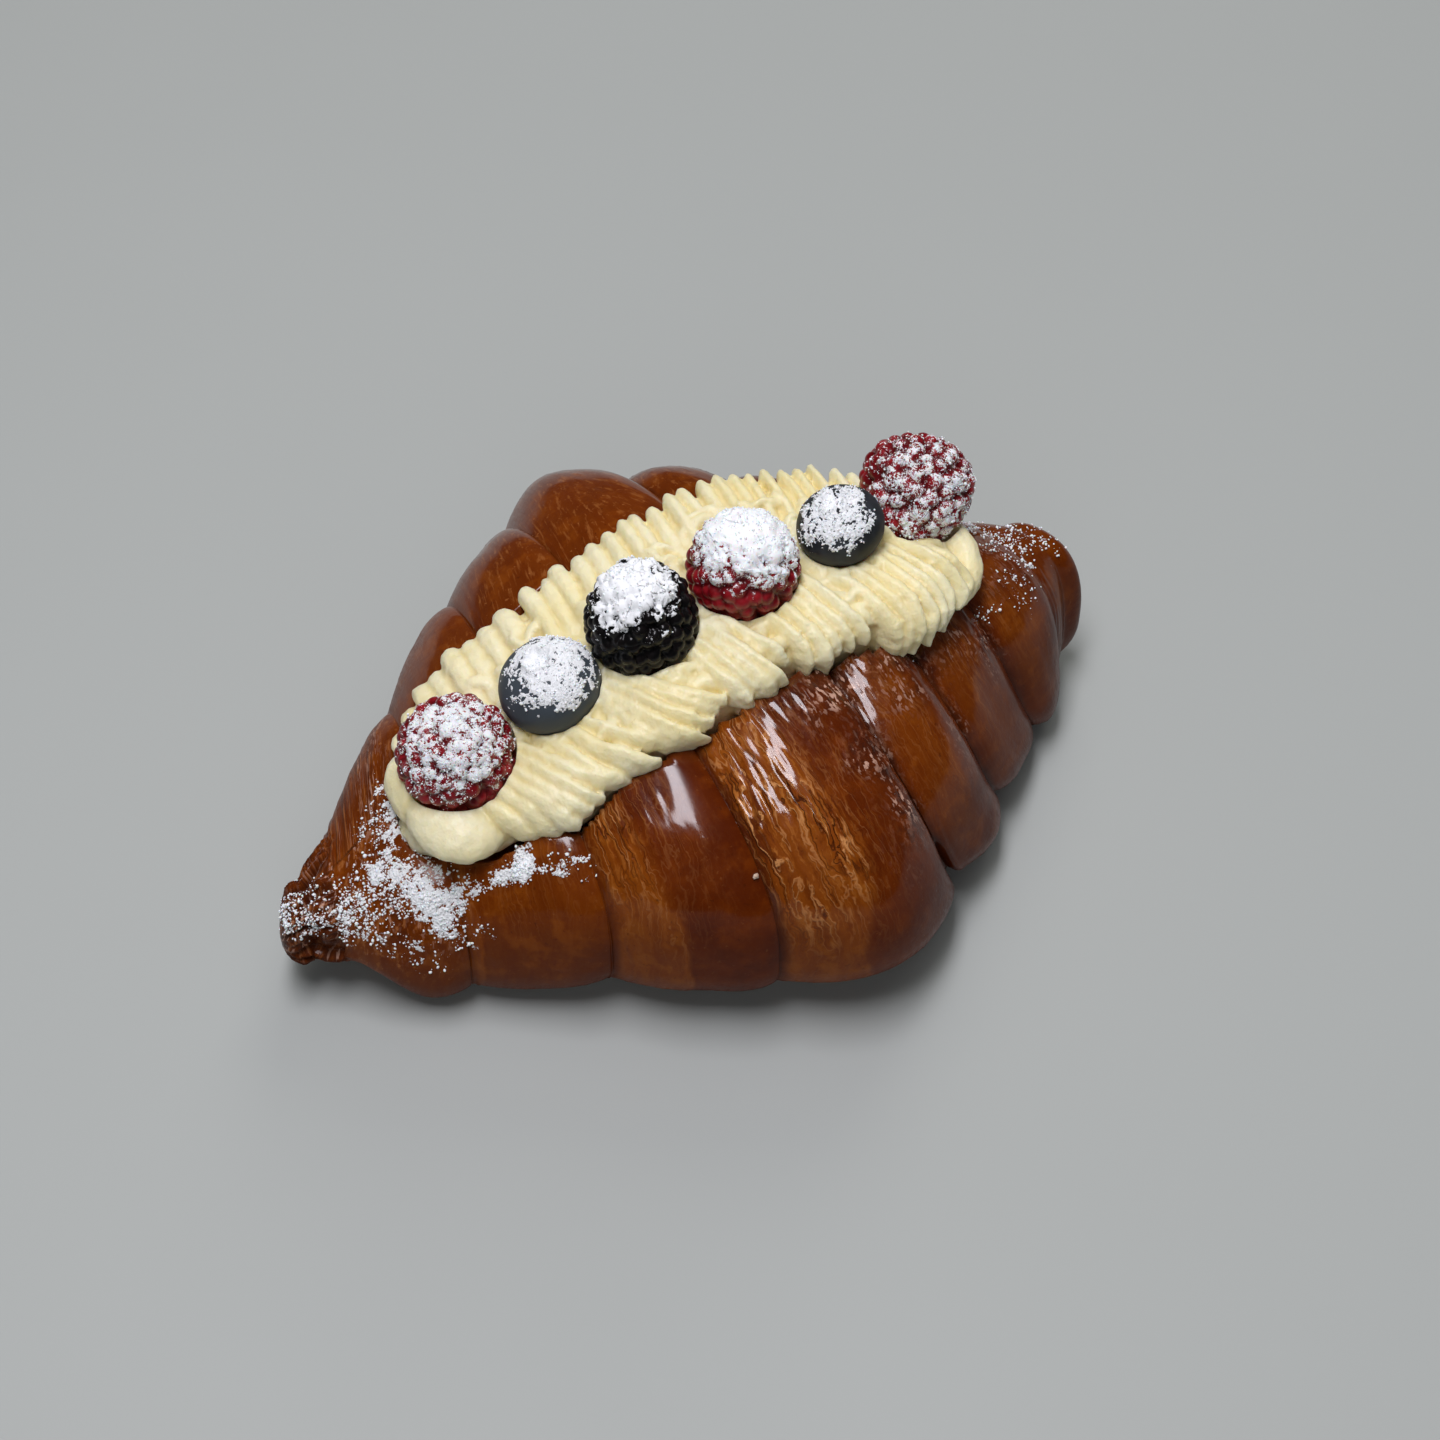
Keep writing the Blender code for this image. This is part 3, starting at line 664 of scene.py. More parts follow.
height = times(fibres, plus(times(streaky, 0.22), 0.015))
wrinkled = sum_of("SUBTRACT", times(glint_lines, 0.15), times(dark_lines, 0.20))
for layer, share in (
    (mottle, 0.05), (wrinkled, streaky), (pores, 0.05),
    (crags, times(flaky_mark, 0.75)), (dust["Height"], 0.35),
):
    height = plus(height, times(layer, share))
glaze = times(spread(bake, 0.3, 0.7, 0.95, 0.75), read_mark(surface, "gloss"))
wire(
    surface,
    base_color=colour,
    roughness=sum_of("MAXIMUM", spread(fibres, 0.35, 0.7, 0.30, 0.42), times(dust["Mask"], SUGAR_ROUGHNESS)),
    coat_weight=times(glaze, sum_of("SUBTRACT", 1.0, dust["Mask"])),
    normal=bumped(height),
)

pastry_faces = closed_rings(len(stations), POINTS_AROUND)
croissant = mesh_from("baked_croissant", pastry_points, pastry_faces, crust_finish)
grain_marks = np.stack([fan, round_way, turn_number * 20.0], axis=-1).reshape(-1, 3) * MM
mark(croissant, "grain", np.concatenate([grain_marks, np.zeros((2, 3))]))
# Where the light specks and golden flecks lie; they are partly painted glints.
specks = 0.25 + 0.75 * (1 - smooth(-62.0, -46.0, grid_x)) * smooth(-32.0, -20.0, skin[..., 1])
specks = np.maximum(specks, 0.85 * (1 - near_side) * smooth(31.0, 40.0, skin[..., 2]))
for name, values in {
    "pale": pale,
    "flaky": flaky,
    "gloss": 0.22 + 0.78 * smooth(24.0, 37.0, skin[..., 2]),
    "specks": is_top_side * specks,
    "streak_amount": streak_amount,
    "crease": crease,
    "sugar": sugar,
    # Painted sheen of the table's reflection, strongest at the foot.
    "underside": (1 - smooth(1.0, 16.0, skin[..., 2])) * 0.8,
}.items():
    mark(croissant, name, np.r_[values.ravel(), 0, 0])
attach(croissant, "root")
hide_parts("croissant")

# The cream: cream-cheese custard piped into the slit with a toothed nozzle that moved from side
# to side. Each tooth left a strand, and the strands end in points along both edges.

# Near side, by cluster: the first and the last tip along the row, how many strands, how far they
# lean and how they bend, the angle where the first one ends and how much higher the last one
# does, how proud they stand, and how far they bow toward the right end.
NEAR_CLUSTERS = (
    (-43.0, -29.0, 6, 14.0, 0.8, 183.0, 13.0, 1.4, 0.6),
    (-27.0, -19.5, 4, 16.0, 0.75, 184.0, 24.0, 1.9, 0.4),
    (-16.5, -8.5, 6, 17.0, 0.75, 187.0, 27.0, 1.7, 0.2),
    (-4.5, 4.5, 5, 11.0, 0.9, 186.0, 22.0, 1.3, 0.6),
    (7.5, 18.0, 5, 8.0, 1.3, 188.0, 12.0, 1.2, 1.0),
    (21.5, 39.5, 8, 10.0, 2.0, 190.0, 6.0, 2.4, 2.3),
)
# Far side, by row: the first and the last tip, how far apart, half width and height, how sharply
# they narrow and how far they stand up.
FAR_ROWS = (
    (-52.0, -26.0, 3.4, 2.6, 1.9, 0.30, 0.0),
    (-23.0, -9.0, 3.3, 1.9, 2.1, 0.60, 0.6),
    (-6.2, 10.0, 3.0, 1.6, 2.3, 0.80, 1.2),
    (12.6, 44.0, 2.75, 1.32, 2.5, 0.90, 2.2),
)
# The strands of the near side start high on the mound, sunk in it, and come out on their way
# down. Angles are in degrees, lengths in millimetres.
NEAR_START = 72
NEAR_SINK, NEAR_EMERGE = 5.9, 3.9
NEAR_HALF_WIDTH, NEAR_HALF_HEIGHT = 1.28, 2.6
NEAR_ROLL = math.radians(16)
# The strands of the far side, and the scallops that their tips make at the left.
FAR_START, FAR_SWEEP = 100, 108
FAR_SINK, FAR_EMERGE = 4.4, 1.9
SCALLOP = 8.2
SCALLOPED_UP_TO = -28
FOLDS = 210
FOLD_SINK = 2.0
MOUND_RINGS, MOUND_AROUND = 220, 110
MOUND_SINK = 3.1
STRAND_AROUND = 10
STRAND_ALONG = 16
CREAM_GRAIN = 0.36
dice = np.random.default_rng(11)


def mound_point(x, angle, rise):
    """A point rise millimetres outside the mound of cream. Angle pi is the near edge."""
    middle, half, waist, depth, close = cream_section(x)
    side, up = np.cos(angle), np.sin(angle)
    above = up >= 0
    narrow = 1 - (1 - SLIT_WIDTH) * smooth(*SLIT_NARROWS, -up)
    y = np.where(above, half * signed_power(side, 2 / CREAM_ROUNDNESS), half * narrow * side)
    z = np.where(above, CREAM_EDGE_DROP * signed_power(up, 2 / CREAM_ROUNDNESS), depth * up)
    scale = close * (1 + rise / np.maximum(1.0, np.hypot(y, z)))
    return np.stack([x, middle + y * scale, waist + z * scale], axis=-1)


def strand(path, half_width, half_height, roll=0.0):
    """Points and faces of a strand along a path, with its half width and height at each point."""
    ahead = np.gradient(path, axis=0)
    ahead /= np.linalg.norm(ahead, axis=1)[:, None]
    centre = path.mean(axis=0) - (0.0, 0.0, 12.0)
    over = path - centre
    over -= (over * ahead).sum(axis=1)[:, None] * ahead
    over /= np.maximum(1e-6, np.linalg.norm(over, axis=1))[:, None]
    aside = np.cross(ahead, over)
    cos, sin = math.cos(roll), math.sin(roll)
    aside, over = aside * cos + over * sin, over * cos - aside * sin
    turn = np.linspace(0, 2 * math.pi, STRAND_AROUND, endpoint=False)
    wide = np.asarray(half_width)[:, None, None] * np.cos(turn)[None, :, None]
    tall = np.asarray(half_height)[:, None, None] * np.sin(turn)[None, :, None]
    points = path[:, None] + aside[:, None] * wide + over[:, None] * tall
    points = np.concatenate([points.reshape(-1, 3), path[:1], path[-1:]])
    return points, closed_rings(len(path), STRAND_AROUND)


def mound():
    """The body of the cream under its strands, a little creased and puffed up on top."""
    xs = CREAM_LEFT + (CREAM_RIGHT - CREAM_LEFT) * (np.arange(MOUND_RINGS) + 0.5) / MOUND_RINGS
    turn = np.linspace(0, 2 * math.pi, MOUND_AROUND, endpoint=False)
    xs, turn = np.meshgrid(xs, turn, indexing="ij")
    puffs = 1.5 * smooth(0.6, 0.95, np.sin(turn)) * (0.6 + 0.8 * noise_at(xs / 4.0, turn * 3.0, 5.0))
    creased = 0.9 * smooth(0.1, 0.6, np.sin(turn)) * (1 - 2.2 * np.abs(noise_at(xs / 3.0, turn * 4.0, 8.0)))
    grid = mound_point(xs, turn, -MOUND_SINK + puffs + creased)
    ends = np.stack([grid[0].mean(axis=0), grid[-1].mean(axis=0)])
    return np.concatenate([grid.reshape(-1, 3), ends]), closed_rings(MOUND_RINGS, MOUND_AROUND)


share = np.linspace(0, 1, STRAND_ALONG)
parts = [mound()]
for first, last, number, lean, bend, lowest, climb, proud, bow in NEAR_CLUSTERS:
    for k in range(number):
        along = k / (number - 1)
        tip_x = first + (last - first) * along + dice.normal(0, 0.2)
        x = tip_x - (lean * (0.75 + 0.4 * along) + dice.normal(0, 0.6)) * (1 - share) ** bend
        x = x + bow * np.sin(math.pi * share**1.5) + 0.5 * noise_at(share * 4, k * 1.7, first)
        end_angle = lowest - climb * along + dice.normal(0, 4)
        angle = np.radians(NEAR_START + (end_angle - NEAR_START) * share)
        lobe = math.sin(math.pi * (0.12 + 0.72 * along))
        rise = -NEAR_SINK + NEAR_EMERGE * smooth(0.12, 0.66, share)
        rise = rise + proud * lobe * share**1.3 + dice.normal(0, 0.3)
        path = mound_point(x, angle, rise)
        swell = (0.8 + 0.2 * smooth(0.0, 0.6, share)) * (1 - 0.5 * smooth(0.84, 1.0, share) ** 1.5)
        swell *= 1 + 0.22 * noise_at(share * 6, k * 3.1, first + 40)
        width, tall = NEAR_HALF_WIDTH + dice.normal(0, 0.12), NEAR_HALF_HEIGHT + dice.normal(0, 0.2)
        parts.append(strand(path, width * swell, tall * swell, NEAR_ROLL))
# Short folds lie over them where the nozzle turned back.
for k in range(FOLDS):
    spot_x, spot_angle = dice.uniform(-40, 40), dice.uniform(55, 150)
    length, heading = dice.uniform(3.0, 7.5), dice.uniform(-0.7, 1.4)
    x = spot_x + length * (share - 0.5) * math.cos(heading)
    turned = length * 3.2 * (share - 0.5) * math.sin(heading)
    angle = np.radians(spot_angle + turned + 10 * (share - 0.5) ** 2)
    path = mound_point(x, angle, -FOLD_SINK + dice.normal(0, 0.4) - 2.5 * (share - 0.5) ** 2)
    swell = np.sqrt(np.maximum(0.05, 1 - (2 * share - 1) ** 2))
    width, tall = dice.uniform(0.9, 1.5), dice.uniform(1.5, 2.1)
    parts.append(strand(path, width * swell, tall * swell, math.radians(dice.uniform(-25, 25))))
for first, last, pitch, width, tall, narrowing, stand_up in FAR_ROWS:
    for tip_x in np.arange(first, last, pitch):
        tip_x = tip_x + dice.normal(0, 0.18)
        x = tip_x - (3.0 + dice.normal(0, 0.5)) * (1 - share)
        angle = np.radians(FAR_START - (FAR_SWEEP + dice.normal(0, 6)) * share)
        scallop = 1.5 * abs(math.sin(math.pi * tip_x / SCALLOP)) - 0.9 if tip_x < SCALLOPED_UP_TO else 0.0
        rise = -FAR_SINK + FAR_EMERGE * smooth(0.15, 0.65, share)
        rise = rise + (1.4 + scallop) * share**3 + dice.normal(0, 0.35)
        path = mound_point(x, angle, rise)
        path[:, 2] += (stand_up + dice.normal(0, 0.4)) * smooth(0.65, 1.0, share)
        swell = (0.8 + 0.2 * share) * (1 - narrowing * smooth(0.70, 1.0, share))
        wide, high = width + dice.normal(0, 0.08), tall + dice.normal(0, 0.2)
        parts.append(strand(path, wide * swell, high * swell))


def ball_part(centre, radii, points=24):
    """A ball-like lump as rings of points."""
    fall = (np.arange(points) + 0.5) / points * math.pi
    turn = np.linspace(0, 2 * math.pi, points, endpoint=False)
    fall, turn = np.meshgrid(fall, turn, indexing="ij")
    grid = np.stack([np.sin(fall) * np.cos(turn), np.sin(fall) * np.sin(turn), np.cos(fall)], axis=-1)
    ends = np.array([[0, 0, 1.0], [0, 0, -1.0]])
    points_out = np.concatenate([grid.reshape(-1, 3), ends]) * np.array(radii) + np.array(centre)
    return points_out, closed_rings(points, points)


# The smooth blob where the nozzle was lifted off at the left, and the curl at the right end.
parts.append(ball_part((-52.8, -13.6, 34.5), (8.3, 10.0, 4.8)))
parts.append(ball_part((-55.0, -6.0, 33.5), (6.0, 9.0, 4.5)))
CURL = (
    (41.0, -6.0, 46.0, 2.2), (44.8, -10.0, 46.8, 2.7), (45.6, -15.8, 46.6, 2.9),
    (43.6, -21.0, 45.4, 2.6), (39.5, -24.0, 44.4, 1.6),
)
curl = [curve_through(list(enumerate(column)), share * 4) for column in zip(*CURL)]
parts.append(strand(np.stack(curl[:3], axis=-1), curl[3], curl[3]))

cream_points, cream_faces, count = [], [], 0
for points, faces in parts:
    cream_points.append(points)
    cream_faces += [tuple(k + count for k in face) for face in faces]
    count += len(points)
cream_points = (np.concatenate(cream_points) + shift) * MM

cream_finish, surface = new_finish(
    "cream_finish", subsurface_weight=0.35, subsurface_scale=0.004, coat_weight=0.12, coat_roughness=0.25
)
surface.inputs["Subsurface Radius"].default_value = (1.0, 0.75, 0.4)
place = own_place(surface)
warm = speckle(place, 7.0, 2.0)
curd = speckle(place, 0.6, 4.0, 0.6)
colour = blend_colour(spread(warm, 0.35, 0.65), (0.86, 0.76, 0.43), (0.88, 0.81, 0.53))
colour = blend_colour(spread(curd, 0.66, 0.74, 0.0, 0.35), colour, (0.62, 0.45, 0.18))
# Painted shade, darker and yellower, in the valleys between strands.
colour = blend_colour(times(read_mark(surface, "valley_shade"), 0.55), colour, (0.76, 0.63, 0.26))
fluff = plus(times(curd, 0.12), times(speckle(place, 1.8, 3.0, 0.6), 0.5))
wire(surface, base_color=colour, roughness=spread(curd, 0.3, 0.7, 0.38, 0.55), normal=bumped(fluff))

# All the strands grow together into one skin.
cream = mesh_from("piped_cream", cream_points, cream_faces, cream_finish)
remesh = cream.modifiers.new("one_skin", "REMESH")
remesh.mode = "VOXEL"
remesh.voxel_size = CREAM_GRAIN * MM
remesh.use_smooth_shade = True
soften = cream.modifiers.new("soften", "SMOOTH")
soften.factor = 0.5
soften.iterations = 1
graph = bpy.context.evaluated_depsgraph_get()
settled = bpy.data.meshes.new_from_object(cream.evaluated_get(graph))
cream.modifiers.clear()
cream.data = settled
if not settled.materials:
    settled.materials.append(cream_finish)
settled.shade_smooth()

# The cream gives way where a berry presses into it. For each berry: centre, radius, half length,
# how much it narrows to its tip, its lean from upright in degrees and which way it leans.
BERRIES = {
    "raspberry_left": ((-49.2, -7.6, 42.0), 10.1, 9.8, 0.10, 35.0, 239.0),
    "bramble_berry": ((-13.4, -7.6, 55.2), 9.6, 10.4, 0.08, 20.0, 59.0),
    "raspberry_middle": ((6.3, -7.9, 57.4), 9.6, 9.6, 0.06, 12.0, 300.0),
    "raspberry_right": ((42.4, -5.4, 53.2), 9.8, 10.2, 0.20, 125.0, 225.0),
    "blueberry_left": ((-31.0, -7.4, 48.3), 8.7, 7.3, 0.0, 15.0, 149.0),
    "blueberry_right": ((25.0, -8.6, 57.4), 7.6, 6.3, 0.0, 15.0, 140.0),
}
PRESS_GAP = 0.15
UNEVENNESS = 0.22
VALLEY_SMOOTHING = 12


def berry_axes(name):
    """Turns a berry's own axes, with its tip along +Z, to its place, in millimetres."""
    centre, _, _, _, lean, heading = BERRIES[name]
    turn = Matrix.Rotation(math.radians(heading), 3, "Z") @ Matrix.Rotation(math.radians(lean), 3, "Y")
    return np.array(centre), np.array(turn)


def read_mesh(items, field, width, kind=float):
    """What a mesh holds for each of its points or edges, as an array."""
    values = np.empty(len(items) * width, kind)
    items.foreach_get(field, values)
    return values.reshape(-1, width)


pressed = read_mesh(settled.vertices, "co", 3) / MM - shift
x, y, z = pressed.T / 2.0
pressed += UNEVENNESS * np.stack([noise_at(x + k * 9, y, z) for k in range(3)], axis=1)
for name, (_, radius, height, _, _, _) in BERRIES.items():
    centre, turn = berry_axes(name)
    size = np.array([radius, radius, height]) + PRESS_GAP
    unit = (pressed - centre) @ turn / size
    away = np.linalg.norm(unit, axis=1)
    inside = away < 1
    unit[inside] /= np.maximum(0.05, away[inside])[:, None]
    pressed = np.where(inside[:, None], centre + (unit * size) @ turn.T, pressed)
settled.vertices.foreach_set("co", ((pressed + shift) * MM).ravel())
settled.update()
# Painted shade: the valleys between strands are coloured darker and yellower; each point is held against a
# smoothed copy.
joins = read_mesh(settled.edges, "vertices", 2, np.int32)
ends, others = np.r_[joins[:, 0], joins[:, 1]], np.r_[joins[:, 1], joins[:, 0]]
links = np.maximum(1, np.bincount(ends, minlength=len(pressed)))[:, None]
even = pressed
for step in range(VALLEY_SMOOTHING):
    even = np.stack([np.bincount(ends, even[others, k], len(pressed)) for k in range(3)], axis=1) / links
stands_out = ((pressed - even) * read_mesh(settled.vertices, "normal", 3)).sum(axis=1)
mark(cream, "valley_shade", 1 - smooth(-0.16, 0.06, stands_out))
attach(cream, "root")
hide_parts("cream")

# The berries: two kinds with drupelets, each a thin skin tight over juice, and two blueberries
# with a waxy bloom. Each is pressed a little into the cream and dusted from above.

# Which way the sugar fell thickest on each berry, how far round it reaches as a cosine, and how
# thick it lies.
DUSTING = {
    "raspberry_left": ((-0.12, -0.30, 0.95), 0.50, 0.60),
    "bramble_berry": ((-0.19, 0.07, 1.0), 0.68, 0.98),
    "raspberry_middle": ((0.12, 0.02, 1.0), 0.54, 1.08),
    "raspberry_right": ((-0.07, -0.66, 0.75), 0.28, 0.50),
    "blueberry_left": ((0.03, -0.12, 0.98), 0.56, 0.70),
    "blueberry_right": ((-0.37, -0.12, 0.92), 0.60, 0.66),
}
SUGAR_THICKNESS = 0.35
# How many loose grains lie on a berry of each kind, and the bloom that one blueberry has kept.
BERRY_GRAINS = {"raspberry": 850, "bramble": 600, "blueberry": 850}
BLOOM = {"blueberry_left": 0.85}
# Drupelets: how many a berry has, their size against an even share of the berry, how deep their
# middles lie, how deep the gaps between them reach, and how finely each is cut.
DRUPELETS = {"raspberry_left": 160, "bramble_berry": 190, "raspberry_middle": 160, "raspberry_right": 185}
BEAD_SIZE = 2.1
BEAD_SINK = 0.92
GAP_FLOOR = 0.86
DRUPELET_CUTS = 3
# The crown of a blueberry: its points, and its rim's radius, width, height and the dip inside it.
CROWN_POINTS = 5
CROWN_RADIUS = 2.5
CROWN_WIDTH = 0.45
CROWN_HEIGHT = 0.45
CROWN_DIP = 0.9


def points_and_faces(form):
    """The directions of a ball's points, and its faces. Frees the ball."""
    directions = np.array([vertex.co.normalized() for vertex in form.verts])
    form.verts.index_update()
    faces = [tuple(vertex.index for vertex in face.verts) for face in form.faces]
    form.free()
    return directions, faces


def small_ball(rounds):
    """A ball of radius 1 made of triangles, finer with more rounds."""
    ball = bmesh.new()
    bmesh.ops.create_icosphere(ball, subdivisions=rounds, radius=1.0)
    return points_and_faces(ball)


def drupelet_ball(count):
    """Directions of points on a ball, cut so that edges follow the gaps between drupelets."""
    hull = bmesh.new()
    for k in range(count):
        up = 1 - (2 * k + 1) / count
        turn = k * math.pi * (3 - math.sqrt(5))
        flat = math.sqrt(1 - up * up)
        spot = Vector((flat * math.cos(turn), flat * math.sin(turn), up)) + Vector(dice.normal(0, 0.05, 3))
        hull.verts.new(spot.normalized())
    bmesh.ops.convex_hull(hull, input=hull.verts)
    bmesh.ops.recalc_face_normals(hull, faces=hull.faces)
    for elements in (hull.verts, hull.edges, hull.faces):
        elements.index_update()
    outs = [vertex.co.normalized() for vertex in hull.verts]
    crests = len(outs)
    outs += [(edge.verts[0].co + edge.verts[1].co).normalized() for edge in hull.edges]
    saddles = len(outs)
    outs += [face.normal.normalized() for face in hull.faces]
    triangles = []
    for face in hull.faces:
        for loop in face.loops:
            saddle = crests + loop.edge.index
            triangles.append((loop.vert.index, saddle, saddles + face.index))
            triangles.append((saddle, loop.link_loop_next.vert.index, saddles + face.index))
    hull.free()
    mesh = bpy.data.meshes.new("drupelets")
    mesh.from_pydata(outs, [], triangles)
    fine = bmesh.new()
    fine.from_mesh(mesh)
    bmesh.ops.subdivide_edges(fine, edges=fine.edges, cuts=DRUPELET_CUTS, use_grid_fill=True)
    bmesh.ops.triangulate(fine, faces=fine.faces)
    bpy.data.meshes.remove(mesh)
    return *points_and_faces(fine), np.array(outs[:crests])


def tapered(directions, radius, height, taper):
    """Points of the berry's body in the given directions."""
    narrow = radius * (1 - taper * directions[:, 2])
    return np.stack([directions[:, 0] * narrow, directions[:, 1] * narrow, directions[:, 2] * height], axis=1)


def berry_dust(name, points_out):
    """How densely sugar would lie on a smooth berry, for directions in the frame's axes."""
    lean, edge, most = DUSTING[name]
    lean = np.array(lean) / np.linalg.norm(lean)
    facing = points_out @ lean
    ragged = 0.30 * noise_at(*(points_out.T * 3.6 + len(name))) + 0.26 * noise_at(*(points_out.T * 10.0))
    ragged += 0.20 * noise_at(*(points_out.T * 21.0 + 5))
    blur = 0.20
    if name not in DRUPELETS:
        ragged *= 1.35
        blur = 0.12
    lying = most * smooth(edge - blur, edge + blur, facing + ragged)
    if name.startswith("raspberry"):
        lying = np.maximum(lying, min(0.5, 0.62 * most) * smooth(edge - 0.62, edge - 0.2, facing + ragged))
    return lying


berry_finishes = {}
for kind, dark, light, settings in (
    ("raspberry", (0.15, 0.0030, 0.0060), (0.30, 0.010, 0.016), {
        "roughness": 0.3, "specular_ior_level": 0.25, "coat_weight": 0.3, "coat_roughness": 0.1,
        "subsurface_weight": 0.25, "subsurface_scale": 0.002,
    }),
    ("bramble", (0.003, 0.003, 0.0030), (0.007, 0.005, 0.005), {
        "roughness": 0.3, "specular_ior_level": 0.06, "coat_weight": 0.35, "coat_roughness": 0.08,
    }),
    ("blueberry", (0.010, 0.012, 0.015), (0.034, 0.039, 0.046), {
        "roughness": 0.5, "specular_ior_level": 0.3, "coat_weight": 0.0,
    }),
):
    finish, surface = new_finish(kind + "_finish", **settings)
    place = own_place(surface)
    dust = dusting(surface, place, 0.75)
    patches = speckle(place, 3.0 if kind == "blueberry" else 1.6, 3.0, 0.55)
    colour = blend_colour(spread(patches, 0.35, 0.65), dark, light)
    if kind == "blueberry":
        colour = blend_colour(read_mark(surface, "bloom"), colour, (0.056, 0.070, 0.084))
    # Painted shade in the gaps between drupelets; on a blueberry the same mark darkens the middle of its
    # crown.
    colour = blend_colour(times(read_mark(surface, "gap"), 0.7), colour, tuple(0.35 * c for c in dark))
    rough = spread(patches, 0.3, 0.7, settings["roughness"], settings["roughness"] + 0.12)
    wire(
        surface,
        base_color=blend_colour(dust["Mask"], colour, SUGAR_COLOUR),
        roughness=sum_of("MAXIMUM", rough, times(dust["Mask"], SUGAR_ROUGHNESS)),
        normal=bumped(dust["Height"], 0.16, 0.8),
    )
    if settings["coat_weight"]:
        bare = sum_of("SUBTRACT", 1.0, dust["Mask"])
        wire(surface, coat_weight=times(bare, settings["coat_weight"]))
    berry_finishes[kind] = finish


def drupelet_berry(name, turn):
    """A berry of beads: its points from its centre, faces, its gaps between beads for painted shade, and
    sugar.
    """
    _, radius, height, taper, _, _ = BERRIES[name]
    directions, faces, crests = drupelet_ball(DRUPELETS[name])
    bead = BEAD_SIZE * math.sqrt(radius * height / len(crests)) * dice.uniform(0.88, 1.12, len(crests))
    reach = 1 - bead / radius * BEAD_SINK + dice.uniform(-0.018, 0.018, len(crests))
    centres = tapered(crests, radius, height, taper) * reach[:, None]
    body = tapered(directions, radius, height, taper)
    line = body / np.linalg.norm(body, axis=1)[:, None]
    body = np.linalg.norm(body, axis=1)
    ahead = line @ centres.T
    under = bead**2 - (centres**2).sum(axis=1) + ahead**2
    reached = np.where(under > 0, ahead + np.sqrt(np.maximum(under, 0)), 0)
    distance = np.maximum(reached.max(axis=1), body * GAP_FLOOR)
    # How deep each point lies in a gap between beads, which the finish darkens as painted shade.
    gap = 1 - smooth(-0.9, -0.25, distance - body)
    # The sugar lies thinner in the gaps and differs from bead to bead, except where it is heaped.
    lying = berry_dust(name, line @ turn.T)
    heaped = smooth(0.80, 1.10, lying)
    clump = 0.66 + 0.34 * smooth(-0.85, -0.15, distance - body)
    uneven = (1 + dice.normal(0, 0.07, len(crests)))[reached.argmax(axis=1)]
    lying *= (clump + (1 - clump) * heaped) * (uneven + (1 - uneven) * heaped)
    distance += 0.9 * heaped * np.maximum(0, body - 0.15 - distance)
    return line * distance[:, None], faces, gap, lying


def smooth_berry(name, turn):
    """A blueberry with the star-shaped rim and the dip of its crown, returned the same way."""
    _, radius, height, _, _, _ = BERRIES[name]
    directions, faces = small_ball(6)
    local = directions * np.array([radius, radius, height])
    rim = np.hypot(local[:, 0], local[:, 1])
    star = 1 + 0.14 * np.cos(CROWN_POINTS * np.arctan2(local[:, 1], local[:, 0]))
    crown = CROWN_HEIGHT * np.exp(-(((rim - CROWN_RADIUS * star) / CROWN_WIDTH) ** 2))
    crown -= CROWN_DIP * (1 - smooth(1.2, 2.4, rim / star))
    on_top = directions[:, 2] > 0
    local[:, 2] += on_top * crown
    local += directions * (0.12 * noise_at(*(directions.T * 3.0)))[:, None]
    return local, faces, on_top * (1 - smooth(1.6, 2.6, rim)), berry_dust(name, directions @ turn.T)


dusted_points = []
for name in BERRIES:
    centre, turn = berry_axes(name)
    grow = drupelet_berry if name in DRUPELETS else smooth_berry
    local, faces, gap, density = grow(name, turn)
    outs = (local / np.linalg.norm(local, axis=1)[:, None]) @ turn.T
    thick = SUGAR_THICKNESS * smooth(0.45, 1.1, density) * (1 + 0.5 * noise_at(*(outs.T * 6.0)))
    points = centre + local @ turn.T + outs * thick[:, None]
    kind = name.split("_")[0]
    piece = mesh_from(name + "_fruit", (points + shift) * MM, faces, berry_finishes[kind])
    mark(piece, "gap", gap)
    mark(piece, "bloom", np.full(len(points), BLOOM.get(name, 0.0)))
    mark(piece, "sugar", density)
    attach(piece, "root")
    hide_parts(name)
    dusted_points.append((points, outs, density, BERRY_GRAINS[kind]))

# Icing sugar: fine powder sifted over the berries and both ends of the crust. Most of it is a thin
# coat that the pieces carry themselves. Here are the loose grains, which lie where they fell.

GRAIN_SIZES = (0.06, 0.19)
CRUST_GRAIN_SCALE = 1.35
CRUST_GRAINS = 2200


def grains_on(name, places, finish, bigger=1.0):
    """One piece of many grains, each a small rough lump sunk a little in what it lies on."""
    shape, faces = small_ball(1)
    all_points, all_faces = [], []
    for points, outs, density, count in places:
        weight = np.maximum(0, density - 0.12) ** 1.5
        for k in dice.choice(len(points), size=count, p=weight / weight.sum()):
            size = bigger * dice.uniform(*GRAIN_SIZES) * (1 if dice.random() < 0.85 else 1.6)
            lump = shape * dice.uniform(0.6, 1.2, 3) * size
            lump *= 1 + 0.25 * dice.normal(0, 0.5, (len(shape), 1))
            spot = points[k] + outs[k] * size * 0.4 + dice.normal(0, 0.14, 3)
            all_faces += [[index + len(shape) * len(all_points) for index in face] for face in faces]
            all_points.append(lump + spot)
    piece = mesh_from(name, (np.concatenate(all_points) + shift) * MM, all_faces, finish)
    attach(piece, "root")


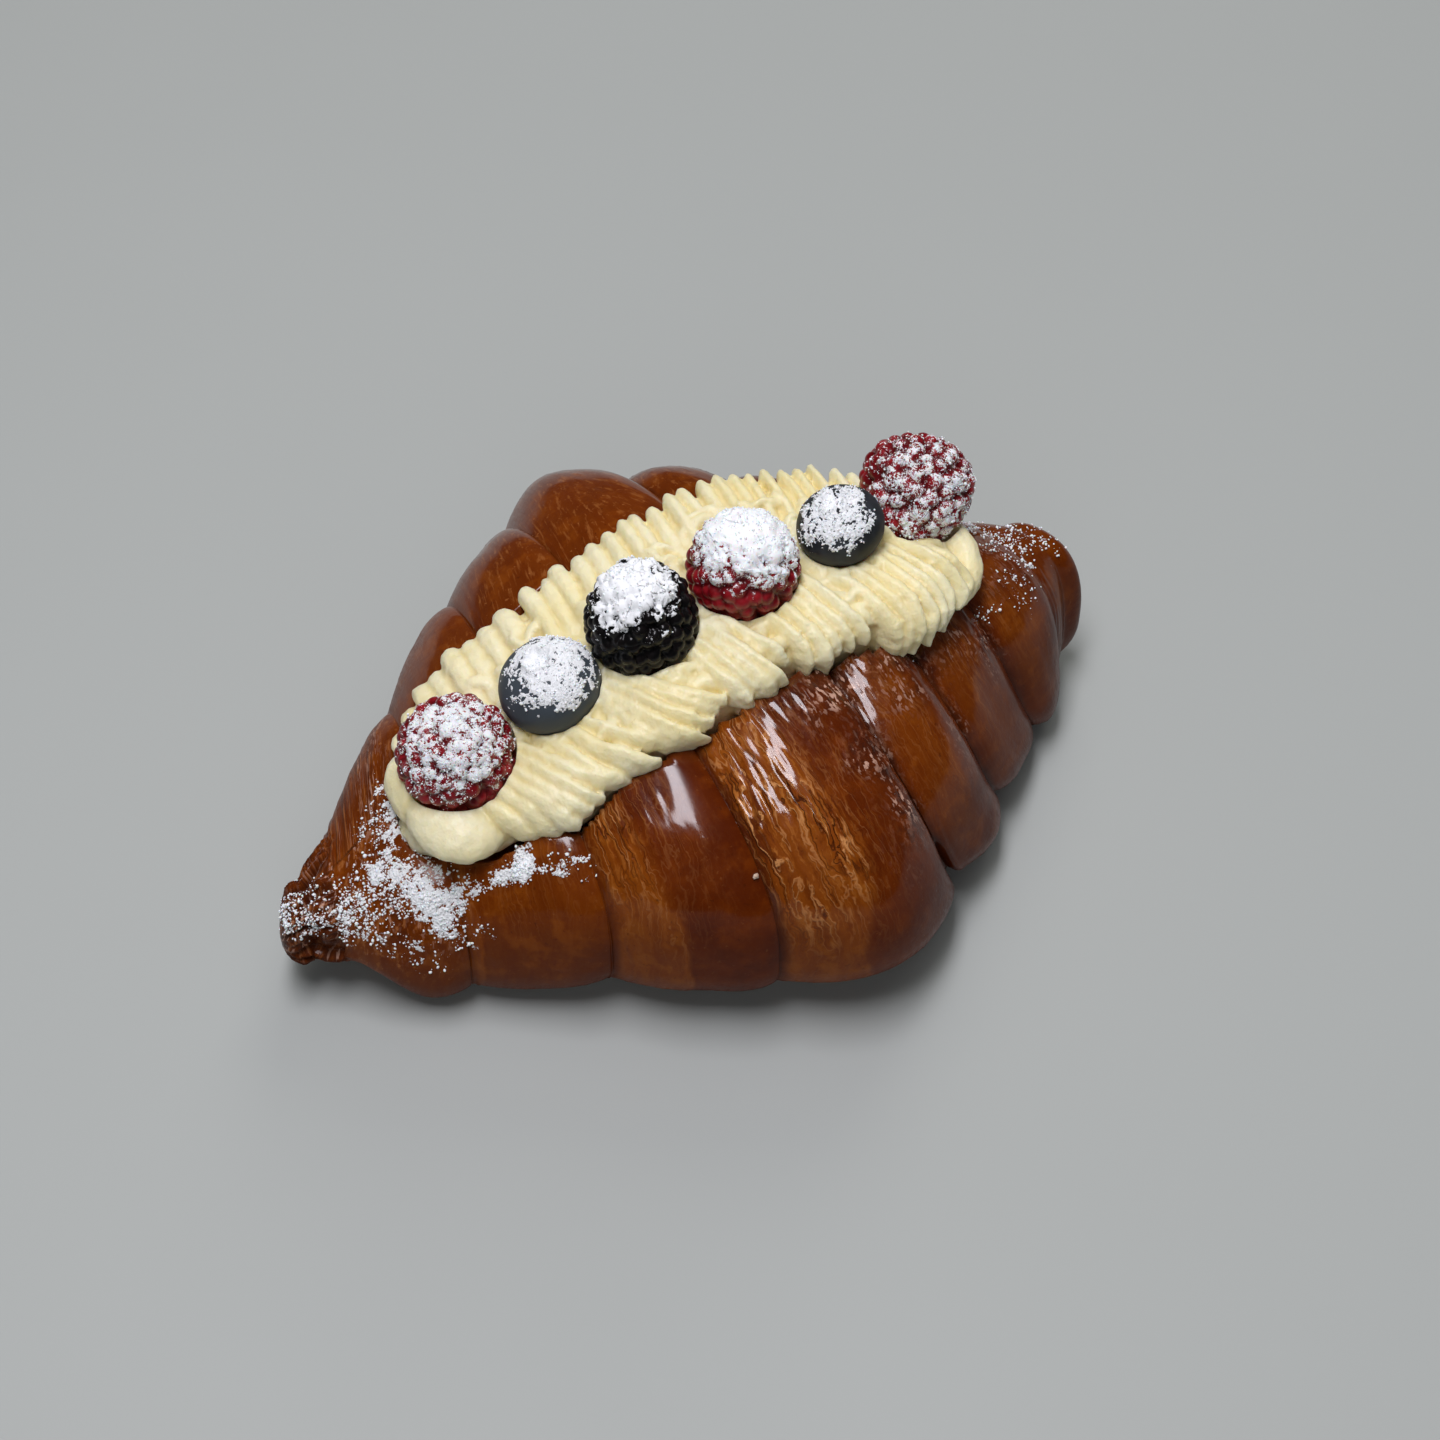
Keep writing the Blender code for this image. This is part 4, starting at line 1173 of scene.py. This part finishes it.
sugar_finish, surface = new_finish("sugar_finish", subsurface_weight=0.2, subsurface_scale=0.001)
glitter = speckle(own_place(surface), 0.3, 2.0)
wire(
    surface,
    base_color=blend_colour(spread(glitter, 0.3, 0.7), (0.90, 0.91, 0.93), (0.96, 0.965, 0.97)),
    roughness=spread(glitter, 0.3, 0.7, 0.6, 0.85),
)
grains_on("sugar_on_berries", dusted_points, sugar_finish)
crust_place = (skin.reshape(-1, 3), outward.reshape(-1, 3), sugar.ravel(), CRUST_GRAINS)
grains_on("sugar_on_crust", [crust_place], sugar_finish, CRUST_GRAIN_SCALE)

# Loose crumbs of baked crust that broke off and lie on the pastry: two pale ones below the cream
# and a dark flake beside them.

# For each: centre, half sizes, and how pale it is.
CRUMBS = (
    ((-14.0, -28.6, 42.6), (0.65, 0.55, 0.5), 0.9),
    ((-16.7, -50.2, 35.0), (0.55, 0.45, 0.4), 0.8),
    ((-12.6, -28.4, 44.6), (1.3, 0.7, 0.5), 0.0),
)
crumb_finish, surface = new_finish("crumb_finish", specular_ior_level=0.3)
crumbly = speckle(own_place(surface), 0.4, 3.0)
patchy = spread(crumbly, 0.3, 0.7)
dark_crumb = blend_colour(patchy, (0.060, 0.0140, 0.0050), (0.200, 0.0600, 0.0180))
pale_crumb = blend_colour(patchy, (0.60, 0.42, 0.30), (0.80, 0.66, 0.52))
wire(
    surface,
    base_color=blend_colour(read_mark(surface, "pale"), dark_crumb, pale_crumb),
    roughness=spread(crumbly, 0.3, 0.7, 0.5, 0.75),
)
lump, lump_faces = ball_part((0.0, 0.0, 0.0), (1.0, 1.0, 1.0), 10)
crumb_points, crumb_faces, shades = [], [], []
for k, (spot, size, shade) in enumerate(CRUMBS):
    rough = 1 + 0.45 * noise_at(*(lump * 1.3 + (k * 5, 0, 0)).T)
    crumb_points.append(lump * rough[:, None] * np.array(size) + np.array(spot))
    crumb_faces += [tuple(index + k * len(lump) for index in face) for face in lump_faces]
    shades += [shade] * len(lump)
crumb_points = (np.concatenate(crumb_points) + shift) * MM
crumbs = mesh_from("crust_crumbs", crumb_points, crumb_faces, crumb_finish)
mark(crumbs, "pale", shades)
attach(crumbs, "root")
